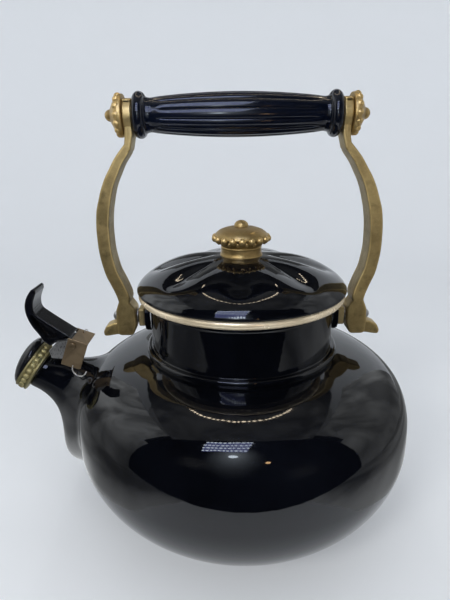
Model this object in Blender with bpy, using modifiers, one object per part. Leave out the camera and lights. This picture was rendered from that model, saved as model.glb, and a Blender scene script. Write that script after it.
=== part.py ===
"""Whistling stove-top kettle with a brass bail handle.

A round enamelled body with a cylindrical neck, a lift-off domed lid, a short
wide spout closed by a sprung flip-up whistle cap, and a bail handle that folds
on two rivets.  Metres, +Z up.  The origin is the centre of the flat base, the
spout points along -X and the handle lies in the XZ plane.
"""

import math

import bmesh
import bpy
from mathutils import Matrix, Vector

# ---------------------------------------------------------------- dimensions
GAP = 0.0003            # clearance between pieces that touch
MERGE = 0.00001         # merge distance of the turned pieces

# body
BODY_R = 0.105          # widest radius
BODY_MID_Z = 0.0626     # height of the widest place
BODY_TOP_RISE = 0.0536  # height of the upper half above it
BODY_LOW_DROP = 0.0720  # depth of the lower half below it
BODY_TOP_POWER = 3.13   # how square the upper half is
BODY_LOW_POWER = 1.91   # how square the lower half is
BODY_WALL = 0.0014

# neck
NECK_R = 0.0562
NECK_WALL = 0.0013
NECK_TOP_Z = 0.1470
NECK_BEAD_R = 0.0596
NECK_BEAD_Z = 0.1156

# lid
LID_R = 0.0634
LID_EDGE_Z = 0.1530
LID_RISE = 0.0194
LID_WALL = 0.0013
LID_SOFT_SHARE = 0.55   # share of the dome's fall that is spread over the whole lid
LID_SOFT_POWER = 2.2
LID_EDGE_POWER = 4.0    # how late the rest of the fall comes, near the edge
BAND_R = 0.0628
BAND_LOW_Z = 0.1474
SKIRT_R = 0.0530
SKIRT_LOW_Z = 0.1380
KNOB_STEM_R = 0.0122
KNOB_CAP_R = 0.0173
KNOB_CAP_Z = 0.1830
KNOB_TOP_Z = 0.1928
LID_LIFT_HOLE_R = 0.0026

# spout
SPOUT_WALL = 0.0014
SPOUT_BASE_HALF_W = 0.0464
SPOUT_TAPER = 1.95                       # how fast the half-width falls to the lip
SPOUT_EGG = 0.59                         # how egg-shaped the root is, 0 for an ellipse
SPOUT_EGG_FADE = 0.93                    # how fast that fades to the lip
MOUTH = Vector((-0.1348, 0.0, 0.0992))   # centre of the cap's ring
MOUTH_TILT = math.radians(36.0)          # mouth axis above the horizontal
MOUTH_R = 0.0118
LIP_LENGTH = 0.0026                      # straight end of the spout
SPOUT_KEEL = ((-0.0830, 0.0270), (-0.1510, 0.0160), (-0.0985, 0.0615))
SPOUT_RIDGE = ((-0.0838, 0.1026), (-0.0960, 0.1010), (-0.1050, 0.1028))

# whistle cap
RING_R = 0.0167
RING_BORE_R = 0.0106
RING_HALF_T = 0.0038
CAP_DOME_R = 0.0158
CAP_DOME_RISE = 0.0064
CAP_DOME_WALL = 0.0012
CAP_BASE_SHIFT = 0.0010                  # how far the dome's foot leans to the lever
CAP_CROWN_SHIFT = 0.0058                 # and its crown
CAP_DOME_TURN = math.radians(82.0)       # where the dome stops at the vent hole
PLATE_R = 0.0098
REED_R = 0.0016

# whistle cap hinge
HINGE = Vector((-0.1058, 0.0, 0.1168))
BRACKET_TILT = math.radians(-20.8)
BRACKET_HALF_W = 0.0090
SHEET = 0.0008
PIN_R = 0.0014
CHEEK_EYE_R = 0.0029
LEVER_HALF_W = 0.0075

# bail handle
PIVOT_Z = 0.1335
GRIP_Z = 0.2506
BAIL_LEAN = -0.0023     # the grip's middle lies this far towards the spout
GRIP_HALF_L = 0.0569
GRIP_MID_R = 0.0118
GRIP_FLANGE_R = 0.0118
ARM_HALF_W = 0.0065
EYE_R = 0.0080
EYE_IN_X = 0.0573
EYE_OUT_X = 0.0620
EYE_FOOT_Z = 0.2390     # the arm is straight above this height
ROD_R = 0.0020
FINIAL_R = 0.0112
PAD_IN_X = 0.0653
PAD_OUT_X = 0.0776
RIVET_R = 0.0020
SCREW_BORE_R = RIVET_R + GAP
EAR_OUT_X = 0.0597
LUG_OUT_X = 0.0640

ROUND_STEPS = 40        # facets round a large turned piece
SMALL_STEPS = 20        # facets round a small one
SPOUT_STEPS = 9         # spans along the spout
SPOUT_SIDES = 24        # facets round the spout
KNOB_STEPS = 28         # facets round the lid's knob


# ------------------------------------------------------------------- helpers
def clear_scene():
    for obj in list(bpy.data.objects):
        bpy.data.objects.remove(obj, do_unlink=True)


def new_collection(name):
    col = bpy.data.collections.new(name)
    bpy.context.scene.collection.children.link(col)
    return col


def new_material(name, colour, roughness, metallic):
    mat = bpy.data.materials.new(name)
    mat.use_nodes = True
    shader = mat.node_tree.nodes["Principled BSDF"]
    shader.inputs["Base Color"].default_value = (*colour, 1.0)
    shader.inputs["Roughness"].default_value = roughness
    shader.inputs["Metallic"].default_value = metallic
    return mat


def place(obj, parent):
    """Parent an object that is already where it belongs in the world."""
    world = obj.matrix_basis.copy()
    obj.parent = parent
    obj.matrix_parent_inverse = Matrix.Identity(4)
    obj.matrix_basis = parent.matrix_basis.inverted() @ world


def finish(obj, material, parent=None, smooth=35.0):
    """Give a piece its material, its shading, its collection and its parent."""
    obj.data.materials.clear()
    obj.data.materials.append(material)
    if obj.name not in PARTS.objects:
        PARTS.objects.link(obj)
    if smooth and obj.type == "MESH":
        obj.data.shade_smooth()
        obj.data.set_sharp_from_angle(angle=math.radians(smooth))
    if parent:
        place(obj, parent)
    return obj


def as_cutter(obj):
    """Hide a helper solid that only cuts other pieces."""
    obj.hide_render = True
    obj.display_type = "WIRE"
    CUTTERS.objects.link(obj)
    return obj


def turned(name, profile, steps=ROUND_STEPS, closed=False):
    """Turn a profile of (radius, height) points round the object's Z axis."""
    mesh = bpy.data.meshes.new(name)
    verts = [(r, 0.0, z) for r, z in profile]
    edges = [(i, i + 1) for i in range(len(verts) - 1)]
    if closed:
        edges.append((len(verts) - 1, 0))
    mesh.from_pydata(verts, edges, [])
    obj = bpy.data.objects.new(name, mesh)
    screw = obj.modifiers.new("Turn", "SCREW")
    screw.axis = "Z"
    screw.steps = steps
    screw.render_steps = steps
    screw.use_merge_vertices = True
    screw.merge_threshold = MERGE
    screw.use_smooth_shade = True
    return obj


def along(obj, location, direction):
    """Put a turned piece at a location with its Z axis along a direction."""
    obj.location = location
    obj.rotation_euler = direction.to_track_quat("Z", "Y").to_euler()
    return obj


def plate(name, outline, half_thickness):
    """Extrude a flat outline in the XZ plane to both sides of y = 0.

    The result is a welded mesh, so that it can be cut and joined.
    """
    curve = bpy.data.curves.new(name, "CURVE")
    curve.dimensions = "2D"
    curve.fill_mode = "BOTH"
    curve.extrude = half_thickness
    spline = curve.splines.new("POLY")
    spline.points.add(len(outline) - 1)
    for point, (x, z) in zip(spline.points, outline):
        point.co = (x, z, 0.0, 1.0)
    spline.use_cyclic_u = True
    flat = bpy.data.objects.new(name + "_outline", curve)
    flat.rotation_euler = (math.pi / 2, 0.0, 0.0)
    return curve_to_mesh(flat, name)


def wire(name, points, radius):
    """Sweep a round section along points and weld its ends."""
    curve = bpy.data.curves.new(name, "CURVE")
    curve.dimensions = "3D"
    curve.bevel_depth = radius
    curve.bevel_resolution = 1
    curve.use_fill_caps = True
    spline = curve.splines.new("POLY")
    spline.points.add(len(points) - 1)
    for point, co in zip(spline.points, points):
        point.co = (*co, 1.0)
    return curve_to_mesh(bpy.data.objects.new(name + "_path", curve), name)


def curve_to_mesh(curve_obj, name):
    """Turn a curve object into a welded mesh object in the same place."""
    bpy.context.scene.collection.objects.link(curve_obj)
    bpy.context.view_layer.update()
    evaluated = curve_obj.evaluated_get(bpy.context.evaluated_depsgraph_get())
    mesh = bpy.data.meshes.new_from_object(evaluated)
    mesh.transform(curve_obj.matrix_world)
    weld(mesh)
    obj = bpy.data.objects.new(name, mesh)
    bpy.data.objects.remove(curve_obj, do_unlink=True)
    return obj


def weld(mesh):
    """Join the loose caps to the walls and turn every face outwards."""
    bm = bmesh.new()
    bm.from_mesh(mesh)
    bmesh.ops.remove_doubles(bm, verts=bm.verts, dist=MERGE)
    bmesh.ops.recalc_face_normals(bm, faces=bm.faces)
    bm.to_mesh(mesh)
    bm.free()


def block(name, low, high, bevel=0.0):
    """A box between two corners, with rounded edges."""
    mesh = bpy.data.meshes.new(name)
    bm = bmesh.new()
    size = Vector(high) - Vector(low)
    centre = (Vector(high) + Vector(low)) / 2
    bmesh.ops.create_cube(bm, size=1.0)
    bmesh.ops.scale(bm, vec=size, verts=bm.verts)
    bmesh.ops.translate(bm, vec=centre, verts=bm.verts)
    bm.to_mesh(mesh)
    bm.free()
    obj = bpy.data.objects.new(name, mesh)
    if bevel:
        rounding = obj.modifiers.new("Rounding", "BEVEL")
        rounding.width = bevel
        rounding.segments = 2
    return obj


def cylinder(name, start, end, radius, steps=20):
    """A solid cylinder between two points."""
    start, end = Vector(start), Vector(end)
    mesh = bpy.data.meshes.new(name)
    bm = bmesh.new()
    bmesh.ops.create_cone(bm, cap_ends=True, segments=steps, radius1=radius,
                          radius2=radius, depth=(end - start).length)
    turn = (end - start).to_track_quat("Z", "Y").to_matrix().to_4x4()
    bm.transform(Matrix.Translation((start + end) / 2) @ turn)
    bm.to_mesh(mesh)
    bm.free()
    return bpy.data.objects.new(name, mesh)


def cut(obj, cutter, operation="DIFFERENCE"):
    mod = obj.modifiers.new(operation.title(), "BOOLEAN")
    mod.operation = operation
    mod.solver = "EXACT"
    mod.object = cutter
    return obj


def arc(centre, radius, start, end, count):
    """Points of a circular arc, its angles in degrees from +X towards +Z."""
    points = []
    for i in range(count):
        angle = math.radians(start + (end - start) * i / (count - 1))
        points.append((centre[0] + radius * math.cos(angle),
                       centre[1] + radius * math.sin(angle)))
    return points


def bezier(p0, p1, p2, p3, t):
    """A point of a cubic Bezier curve in two dimensions."""
    s = 1.0 - t
    weights = (s * s * s, 3 * s * s * t, 3 * s * t * t, t * t * t)
    return tuple(sum(w * p[k] for w, p in zip(weights, (p0, p1, p2, p3)))
                 for k in (0, 1))


def smooth_line(points, per_span):
    """A Catmull-Rom curve through the points, per_span steps a span."""
    ends = [points[0], *points, points[-1]]
    line = []
    for i in range(1, len(ends) - 2):
        before, here, there, after = ends[i - 1:i + 3]
        for k in range(per_span):
            t = k / per_span
            line.append(tuple(
                0.5 * (2 * b + (c - a) * t + (2 * a - 5 * b + 4 * c - d) * t * t
                       + (3 * b - 3 * c + d - a) * t ** 3)
                for a, b, c, d in zip(before, here, there, after)))
    line.append(tuple(points[-1]))
    return line


# ---------------------------------------------------------------------- body
def body_height(radius, grow=0.0):
    """Height of the upper half of the body at a radius."""
    ratio = min(1.0, radius / (BODY_R + grow))
    rise = (1.0 - ratio ** BODY_TOP_POWER) ** (1.0 / BODY_TOP_POWER)
    return BODY_MID_Z + (BODY_TOP_RISE + grow) * rise


def body_outline(top_radius, grow, base_z, spans=8):
    """Points down the body's side, from the neck hole to the base."""
    points = []
    top_turn = math.acos((top_radius / (BODY_R + grow)) ** (BODY_TOP_POWER / 2))
    for i in range(spans):
        turn = top_turn * (1.0 - i / spans)
        points.append(((BODY_R + grow) * math.cos(turn) ** (2 / BODY_TOP_POWER),
                       BODY_MID_Z + (BODY_TOP_RISE + grow)
                       * math.sin(turn) ** (2 / BODY_TOP_POWER)))
    drop = (BODY_MID_Z - base_z) / (BODY_LOW_DROP + grow)
    low_turn = math.asin(drop ** (BODY_LOW_POWER / 2))
    for i in range(spans + 1):
        turn = low_turn * i / spans
        points.append(((BODY_R + grow) * math.cos(turn) ** (2 / BODY_LOW_POWER),
                       BODY_MID_Z - (BODY_LOW_DROP + grow)
                       * math.sin(turn) ** (2 / BODY_LOW_POWER)))
    return points


def make_body():
    hole_r = NECK_R + GAP
    outer = body_outline(hole_r, 0.0, 0.0)
    inner = body_outline(hole_r, -BODY_WALL, BODY_WALL, spans=5)
    profile = outer + [(0.0, 0.0), (0.0, BODY_WALL)] + inner[::-1]
    body = turned("kettle_body", profile, closed=True)
    cut(body, as_cutter(spout_solid("spout_opening", -0.0050, reach=0.60)))
    return finish(body, ENAMEL)


def make_neck():
    """The collar: a bead on the shoulder, the wall and a rolled top edge."""
    inner_r = NECK_R - NECK_WALL
    rim_r = 0.0010
    bead_r = 0.0019
    foot_z = body_height(NECK_BEAD_R, GAP) + GAP
    profile = arc((NECK_R + rim_r * 0.2, NECK_TOP_Z - rim_r), rim_r, 100, -60, 6)
    profile += [(NECK_R, NECK_TOP_Z - 0.0030), (NECK_R, NECK_BEAD_Z + 0.0046)]
    profile += [(NECK_R + 0.0008, NECK_BEAD_Z + 0.0024)]
    profile += arc((NECK_BEAD_R - bead_r, NECK_BEAD_Z), bead_r, 70, -20, 5)
    profile += [(NECK_BEAD_R - 0.0006, foot_z), (NECK_R, foot_z + 0.0003)]
    profile += [(NECK_R, body_height(NECK_R) - 0.0030)]
    profile += [(inner_r, body_height(NECK_R) - 0.0030), (inner_r, NECK_TOP_Z - 0.0010)]
    return finish(turned("neck_collar", profile, closed=True), ENAMEL)


# --------------------------------------------------------------------- spout
def mouth_axis():
    return Vector((-math.cos(MOUTH_TILT), 0.0, math.sin(MOUTH_TILT)))


def mouth_across():
    return Vector((math.sin(MOUTH_TILT), 0.0, math.cos(MOUTH_TILT)))


def spout_section(t, grow, count):
    """One closed ring of the spout's outer surface.

    t runs from the body, 0, to the lip, 1.  Each ring lies in a plane
    through the keel point and the ridge point, and is an egg that is narrow
    at the keel near the body and becomes a circle at the lip.
    """
    across = mouth_across() * MOUTH_R
    lip = MOUTH - mouth_axis() * (RING_HALF_T + GAP + LIP_LENGTH)
    low_end = lip - across
    high_end = lip + across
    keel = Vector(bezier(*SPOUT_KEEL, (low_end.x, low_end.z), t)).to_3d().xzy
    ridge = Vector(bezier(*SPOUT_RIDGE, (high_end.x, high_end.z), t)).to_3d().xzy
    centre = (keel + ridge) / 2
    half = (ridge - keel) / 2
    reach = half.length + grow
    up = half.normalized()
    half_w = MOUTH_R + (SPOUT_BASE_HALF_W - MOUTH_R) * (1.0 - t) ** SPOUT_TAPER + grow
    egg = SPOUT_EGG * (1.0 - t) ** SPOUT_EGG_FADE
    ring = []
    for i in range(count):
        angle = 2 * math.pi * i / count
        rise = math.cos(angle)
        width = half_w * math.sin(angle) * (1.0 + egg * rise) / (1.0 + 0.25 * egg)
        ring.append(centre + up * (rise * reach) + Vector((0.0, width, 0.0)))
    return ring


def spout_rings(grow, reach=1.0):
    """The spout's rings up to a share of its length, with the straight lip."""
    rings = [spout_section(reach * i / SPOUT_STEPS, grow, SPOUT_SIDES)
             for i in range(SPOUT_STEPS + 1)]
    if reach == 1.0:
        rings.append([p + mouth_axis() * LIP_LENGTH for p in rings[-1]])
    return rings


def loft(name, rings, close_ring=False):
    """Join equal rings of points into a skin, capped or closed on itself."""
    mesh = bpy.data.meshes.new(name)
    bm = bmesh.new()
    loops = [[bm.verts.new(p) for p in ring] for ring in rings]
    pairs = list(zip(loops, loops[1:]))
    if close_ring:
        pairs.append((loops[-1], loops[0]))
    for one, two in pairs:
        count = len(one)
        for i in range(count):
            j = (i + 1) % count
            bm.faces.new((one[i], one[j], two[j], two[i]))
    if not close_ring:
        bm.faces.new(loops[0])
        bm.faces.new(loops[-1])
    bmesh.ops.recalc_face_normals(bm, faces=bm.faces)
    bm.to_mesh(mesh)
    bm.free()
    return bpy.data.objects.new(name, mesh)


def spout_solid(name, grow, reach=1.0):
    """The spout as a full solid, grown or shrunk, for cutting."""
    return loft(name, spout_rings(grow, reach))


def make_spout():
    rings = spout_rings(0.0) + spout_rings(-SPOUT_WALL)[::-1]
    spout = loft("spout_tube", rings, close_ring=True)
    fence = turned("body_clearance", body_fence_profile(GAP), closed=True)
    cut(spout, as_cutter(fence))
    return finish(spout, ENAMEL)


def body_fence_profile(grow):
    """The body as a full solid, grown by a clearance."""
    outline = body_outline(NECK_R, grow, 0.0)
    return [(0.0, outline[0][1])] + outline + [(0.0, outline[-1][1])]


# --------------------------------------------------------------- whistle cap
def cap_piece(name, profile, material, parent):
    """A turned piece of the cap on the mouth's axis."""
    piece = turned(name, profile, steps=SMALL_STEPS, closed=True)
    along(piece, MOUTH, mouth_axis())
    return finish(piece, material, parent)


def dome_rings(shrink, count=7):
    """Rings of the cap's dome, which leans towards the lever.

    They are in the ring's own frame: Z along the mouth and Y up the ring.
    """
    rings = []
    for i in range(count):
        turn = CAP_DOME_TURN * i / (count - 1)
        radius = (CAP_DOME_R - shrink) * math.cos(turn)
        height = (CAP_DOME_RISE - shrink) * math.sin(turn)
        lean = CAP_BASE_SHIFT + (CAP_CROWN_SHIFT - CAP_BASE_SHIFT) * math.sin(turn)
        ring = []
        for k in range(SMALL_STEPS):
            angle = 2 * math.pi * k / SMALL_STEPS
            ring.append(MOUTH + mouth_axis() * (RING_HALF_T + GAP + height)
                        + mouth_across() * (lean + radius * math.cos(angle))
                        + Vector((0.0, radius * math.sin(angle), 0.0)))
        rings.append(ring)
    return rings


def make_cap(parent):
    """The cap on the mouth: a thick ring, a hollow dome and two whistle plates."""
    edge = 0.0012
    ring = [(RING_R - edge, RING_HALF_T), (RING_R, RING_HALF_T - 1.5 * edge),
            (RING_R, -RING_HALF_T + edge), (RING_R - edge, -RING_HALF_T),
            (RING_BORE_R, -RING_HALF_T), (RING_BORE_R, RING_HALF_T)]
    cap_piece("whistle_beaded_ring", ring, BRASS, parent)

    dome = loft("whistle_cap_dome", dome_rings(0.0) + dome_rings(CAP_DOME_WALL)[::-1],
                close_ring=True)
    finish(dome, BLACK_PLASTIC, parent)

    for name, low in (("whistle_plate_inner", -0.0030), ("whistle_plate_outer", 0.0016)):
        disc = [(PLATE_R, low + SHEET), (PLATE_R, low), (REED_R, low), (REED_R, low + SHEET)]
        cap_piece(name, disc, STEEL, parent)


def make_lever(parent):
    """Black thumb lever: a curled spine, a straight deck and a web between."""
    spine = smooth_line([(-0.1240, 0.1186), (-0.1268, 0.1238), (-0.1298, 0.1285),
                         (-0.1320, 0.1338), (-0.1330, 0.1390), (-0.1326, 0.1438),
                         (-0.1308, 0.1484), (-0.1278, 0.1526)], 2)
    tip = [(-0.1262, 0.1534), (-0.1249, 0.1528), (-0.1250, 0.1506)]
    curl = smooth_line([(-0.1260, 0.1482), (-0.1274, 0.1446), (-0.1280, 0.1405),
                        (-0.1270, 0.1372)], 2)
    deck = [(-0.1180, 0.1301), (-0.1082, 0.1229), (-0.1071, 0.1224)]
    under = arc((HINGE.x, HINGE.z), 0.0051, 103, 150, 4)
    under += [(-0.1150, 0.1192), (-0.1205, 0.1158)]
    lever = plate("cap_lever", spine + tip + curl + deck + under, LEVER_HALF_W)
    recess = [(-0.1222, 0.1212), (-0.1262, 0.1272), (-0.1284, 0.1330), (-0.1150, 0.1238)]
    web = 0.0020
    for side in (-1, 1):
        pocket = plate("lever_recess", recess, (LEVER_HALF_W - web) / 2 + 0.0010)
        pocket.location.y = side * ((LEVER_HALF_W + web) / 2 + 0.0010)
        cut(lever, as_cutter(pocket))
    return finish(lever, BLACK_PLASTIC, parent)


def in_bracket(along_m, down_m):
    """A point of the bracket's side plate, measured from the hinge pin."""
    c, s = math.cos(BRACKET_TILT), math.sin(BRACKET_TILT)
    return (HINGE.x + along_m * c + down_m * s, HINGE.z + along_m * s - down_m * c)


def make_cap_arm(parent):
    """Steel channel that joins the cap ring to the hinge pin."""
    cheek_out = LEVER_HALF_W
    eye = arc((HINGE.x, HINGE.z), CHEEK_EYE_R, 80, -110, 10)
    cheek = eye + [(-0.1120, 0.1070), (-0.1205, 0.1078), (-0.1216, 0.1128),
                   (-0.1160, 0.1182)]
    arm = plate("cap_arm", cheek, cheek_out)
    slot = block("cap_arm_slot", (-0.1212, -cheek_out + SHEET, 0.1000),
                 (-0.1000, cheek_out - SHEET, 0.1300))
    cut(arm, as_cutter(slot))
    bore = cylinder("cap_arm_bore", (HINGE.x, -0.02, HINGE.z), (HINGE.x, 0.02, HINGE.z),
                    PIN_R + GAP, 16)
    cut(arm, as_cutter(bore))
    return finish(arm, STEEL, parent)


def make_bracket():
    """Brass channel on the spout: two side plates under a top plate.

    The far side plate is only a tab that holds the pin's other end.
    """
    side = [in_bracket(-0.0038, -0.0040), in_bracket(0.0088, -0.0040),
            in_bracket(0.0088, 0.0150), in_bracket(-0.0038, 0.0150)]
    bracket = plate("hinge_bracket", side, BRACKET_HALF_W)
    inside = BRACKET_HALF_W - SHEET
    hollow = plate("bracket_hollow",
                   [in_bracket(-0.0080, -0.0033), in_bracket(0.0120, -0.0033),
                    in_bracket(0.0120, 0.0200), in_bracket(-0.0080, 0.0200)], inside)
    notch = plate("bracket_notch",
                  [in_bracket(-0.0080, -0.0080), in_bracket(-0.0018, -0.0080),
                   in_bracket(-0.0018, 0.0010), in_bracket(-0.0080, 0.0010)], inside)
    far = plate("bracket_far_trim",
                [in_bracket(0.0030, -0.0033), in_bracket(0.0120, -0.0033),
                 in_bracket(0.0120, 0.0200), in_bracket(0.0030, 0.0200)], SHEET)
    far.location.y = BRACKET_HALF_W
    for cutter in (hollow, notch, far):
        cut(bracket, as_cutter(cutter))
    cut(bracket, as_cutter(spout_solid("spout_clearance", GAP)))
    cut(bracket, as_cutter(turned("shoulder_clearance", body_fence_profile(GAP),
                                  closed=True)))
    bore = cylinder("bracket_bore", (HINGE.x, -0.02, HINGE.z), (HINGE.x, 0.02, HINGE.z),
                    PIN_R + GAP, 16)
    cut(bracket, as_cutter(bore))
    return finish(bracket, BRASS)


def make_hinge_pin():
    half = BRACKET_HALF_W + GAP
    head_r = 0.0022
    profile = [(0.0, half + 0.0009), (head_r * 0.7, half + 0.0007), (head_r, half)]
    profile += [(PIN_R, half), (PIN_R, -half), (head_r, -half)]
    profile += [(head_r * 0.7, -half - 0.0007), (0.0, -half - 0.0009)]
    pin = turned("hinge_pin", profile, steps=16)
    along(pin, HINGE, Vector((0.0, -1.0, 0.0)))
    return finish(pin, BRASS)


def make_spring():
    """Torsion spring round the hinge pin, inside the cheeks."""
    coil_r = 0.0024
    wire_r = 0.00035
    turns = 3
    length = 0.0050
    steps = turns * 10
    points = []
    for i in range(steps + 1):
        angle = 2 * math.pi * turns * i / steps
        points.append((HINGE.x + coil_r * math.cos(angle),
                       -length / 2 + length * i / steps,
                       HINGE.z + coil_r * math.sin(angle)))
    return finish(wire("hinge_spring", points, wire_r), STEEL)


def make_clip():
    """Wire loop under the bracket's near edge, lying on the spout."""
    side_y = -0.0128
    path = smooth_line([(-0.1068, -0.0100, 0.1036), (-0.1060, -0.0132, 0.1014),
                        (-0.1025, side_y - 0.0026, 0.0992),
                        (-0.0990, side_y - 0.0026, 0.0992),
                        (-0.0972, side_y - 0.0012, 0.1014)], 3)
    return finish(wire("bracket_clip", path, 0.0005), STEEL)


# ----------------------------------------------------------------------- lid
def lid_outline(grow, spans=8):
    """Points of the dome from the crown to the edge."""
    points = []
    for i in range(spans + 1):
        share = i / spans
        radius = 0.0030 + (LID_R - 0.0030 + grow) * share
        sag = LID_SOFT_SHARE * share ** LID_SOFT_POWER
        sag += (1.0 - LID_SOFT_SHARE) * (1.0 - math.sqrt(max(0.0, 1.0 - share ** LID_EDGE_POWER)))
        points.append((radius, LID_EDGE_Z + grow + LID_RISE * (1.0 - sag)))
    return points


def make_lid(parent):
    outer = [(LID_LIFT_HOLE_R, LID_EDGE_Z + LID_RISE)] + lid_outline(0.0)[1:]
    inner = [(LID_LIFT_HOLE_R, LID_EDGE_Z + LID_RISE - LID_WALL)] + lid_outline(-LID_WALL, 5)[1:]
    edge = [(LID_R, LID_EDGE_Z - 0.0006), (LID_R - LID_WALL, LID_EDGE_Z - 0.0008)]
    lid = turned("lid_shell", outer + edge + inner[:-1][::-1], closed=True)
    finish(lid, ENAMEL, parent)

    top = LID_EDGE_Z - 0.0008 - GAP
    band = [(BAND_R - 0.0012, top), (BAND_R, top - 0.0014), (BAND_R, BAND_LOW_Z + 0.0010),
            (BAND_R - 0.0010, BAND_LOW_Z), (SKIRT_R + 0.0012, BAND_LOW_Z + 0.0002),
            (SKIRT_R + 0.0012, BAND_LOW_Z + 0.0010), (BAND_R - 0.0020, BAND_LOW_Z + 0.0010),
            (BAND_R - 0.0024, top)]
    finish(turned("lid_rim_band", band, closed=True), PALE_BRASS, parent)

    skirt_top = BAND_LOW_Z + 0.0010
    skirt = [(SKIRT_R + 0.0009, skirt_top), (SKIRT_R, SKIRT_LOW_Z),
             (SKIRT_R - 0.0010, SKIRT_LOW_Z), (SKIRT_R - 0.0001, skirt_top)]
    finish(turned("lid_inner_skirt", skirt, closed=True), ENAMEL, parent)


def make_knob(parent):
    crown = LID_EDGE_Z + LID_RISE + GAP
    shoulder = KNOB_CAP_Z - 0.0050
    cap = [(0.0, KNOB_TOP_Z)]
    cap += arc((0.0, KNOB_TOP_Z - 0.0031), 0.0031, 60, 0, 4)
    cap += [(0.0040, 0.1889), (0.0090, 0.1880), (0.0140, 0.1858)]
    cap += arc((KNOB_CAP_R - 0.0024, KNOB_CAP_Z), 0.0024, 40, -70, 6)
    cap += [(KNOB_STEM_R + 0.0006, shoulder + 0.0006), (KNOB_STEM_R, shoulder)]
    cap += [(SCREW_BORE_R, shoulder), (SCREW_BORE_R, shoulder + 0.0060),
            (0.0, shoulder + 0.0060)]
    finish(turned("lid_knob", cap, steps=KNOB_STEPS), BRASS, parent)

    top = shoulder - GAP
    ferrule = [(KNOB_STEM_R - 0.0002, top), (KNOB_STEM_R, top - 0.0010),
               (KNOB_STEM_R, crown + 0.0012), (KNOB_STEM_R + 0.0006, crown),
               (SCREW_BORE_R, crown), (SCREW_BORE_R, top)]
    finish(turned("knob_ferrule", ferrule, steps=SMALL_STEPS, closed=True), BRASS, parent)

    under = LID_EDGE_Z + LID_RISE - LID_WALL - GAP
    washer = [(0.0070, under), (0.0070, under - 0.0008), (SCREW_BORE_R, under - 0.0008),
              (SCREW_BORE_R, under)]
    finish(turned("lid_knob_washer", washer, steps=SMALL_STEPS, closed=True), STEEL, parent)

    head = under - 0.0008 - GAP
    screw = [(0.0, shoulder + 0.0056), (RIVET_R, shoulder + 0.0050), (RIVET_R, head),
             (0.0042, head), (0.0038, head - 0.0018), (0.0, head - 0.0024)]
    finish(turned("lid_knob_screw", screw, steps=20), STEEL, parent)


# -------------------------------------------------------------------- handle
ARM_CENTRE = ((0.0605, 0.2347), (0.0626, 0.2320), (0.0667, 0.2267), (0.0700, 0.2210),
              (0.0729, 0.2157), (0.0752, 0.2100), (0.0770, 0.2040), (0.0784, 0.1986),
              (0.0795, 0.1900), (0.0797, 0.1810), (0.0795, 0.1750), (0.0786, 0.1685),
              (0.0772, 0.1620), (0.0748, 0.1560), (0.0724, 0.1495), (0.0712, 0.1445))
ARM_TOP_T = 0.0042      # thickness where the arm leaves the eye
ARM_MID_T = 0.0076      # thickness at the widest bow


def arm_outline():
    """Outline of the right arm: eye plate, bowed strap, foot pad and toe."""
    outer, inner = [], []
    last = len(ARM_CENTRE) - 1
    for i, (x, z) in enumerate(ARM_CENTRE):
        before = ARM_CENTRE[max(0, i - 1)]
        after = ARM_CENTRE[min(last, i + 1)]
        run = Vector((after[0] - before[0], after[1] - before[1])).normalized()
        swell = min(1.0, i / 7)
        half = (ARM_TOP_T + (ARM_MID_T - ARM_TOP_T) * swell) / 2
        outer.append((x - run.y * half, z + run.x * half))
        inner.append((x + run.y * half, z - run.x * half))
    head = [(EYE_IN_X, GRIP_Z + EYE_R * 0.6), (EYE_OUT_X, GRIP_Z + EYE_R * 0.6),
            (EYE_OUT_X, EYE_FOOT_Z)]
    foot = [(0.0762, 0.1400), (PAD_OUT_X, 0.1360), (PAD_OUT_X, 0.1280)]
    toe = arc((0.0806, 0.1262), 0.0030, 90, 40, 4)
    toe += arc((0.0852, 0.1226), 0.0013, 40, -90, 4)
    sole = [(0.0684, 0.1222), (0.0664, 0.1236), (PAD_IN_X, 0.1276), (PAD_IN_X, 0.1372)]
    return head + outer + foot + toe + sole + inner[::-1] + [(EYE_IN_X, 0.2405)]


def leaning(x, z):
    """Shift a point of the bail by its lean, which is nothing at the rivets."""
    share = max(0.0, min(1.0, (z - PIVOT_Z) / (EYE_FOOT_Z - PIVOT_Z)))
    return (x + BAIL_LEAN * share, z)


def make_arm(name, side, parent):
    outline = [leaning(side * x, z) for x, z in arm_outline()]
    arm = plate(name, outline, ARM_HALF_W)
    eye = cylinder("arm_eye", (BAIL_LEAN + side * EYE_IN_X, 0.0, GRIP_Z),
                   (BAIL_LEAN + side * EYE_OUT_X, 0.0, GRIP_Z), EYE_R, 28)
    cut(arm, as_cutter(eye), "UNION")
    for radius, height in ((ROD_R + GAP, GRIP_Z), (RIVET_R + GAP, PIVOT_Z)):
        bore = cylinder("arm_bore", (side * 0.050, 0.0, height),
                        (side * 0.090, 0.0, height), radius, 20)
        cut(arm, as_cutter(bore))
    return finish(arm, BRASS, parent)


def make_grip(parent):
    """Turned barrel between two flanges, bored for the tie rod."""
    half = []
    flange = 0.0045
    half += [(ROD_R + GAP, GRIP_HALF_L), (GRIP_FLANGE_R - 0.0016, GRIP_HALF_L)]
    half += arc((GRIP_FLANGE_R - 0.0024, GRIP_HALF_L - 0.0024), 0.0024, 60, -60, 5)
    half += [(0.0096, GRIP_HALF_L - flange - 0.0008), (0.0088, GRIP_HALF_L - 0.0092)]
    barrel = []
    for i in range(7):
        share = i / 6
        z = 0.0450 - 0.0900 * share
        barrel.append((0.0092 + (GRIP_MID_R - 0.0092) * math.sin(math.pi * share) ** 0.8, z))
    lower = [(r, -z) for r, z in half[::-1]]
    profile = half + barrel + lower
    grip = turned("handle_grip", profile, steps=SMALL_STEPS, closed=True)
    along(grip, Vector((BAIL_LEAN, 0.0, GRIP_Z)), Vector((1.0, 0.0, 0.0)))
    return finish(grip, BLACK_PLASTIC, parent)


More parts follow.
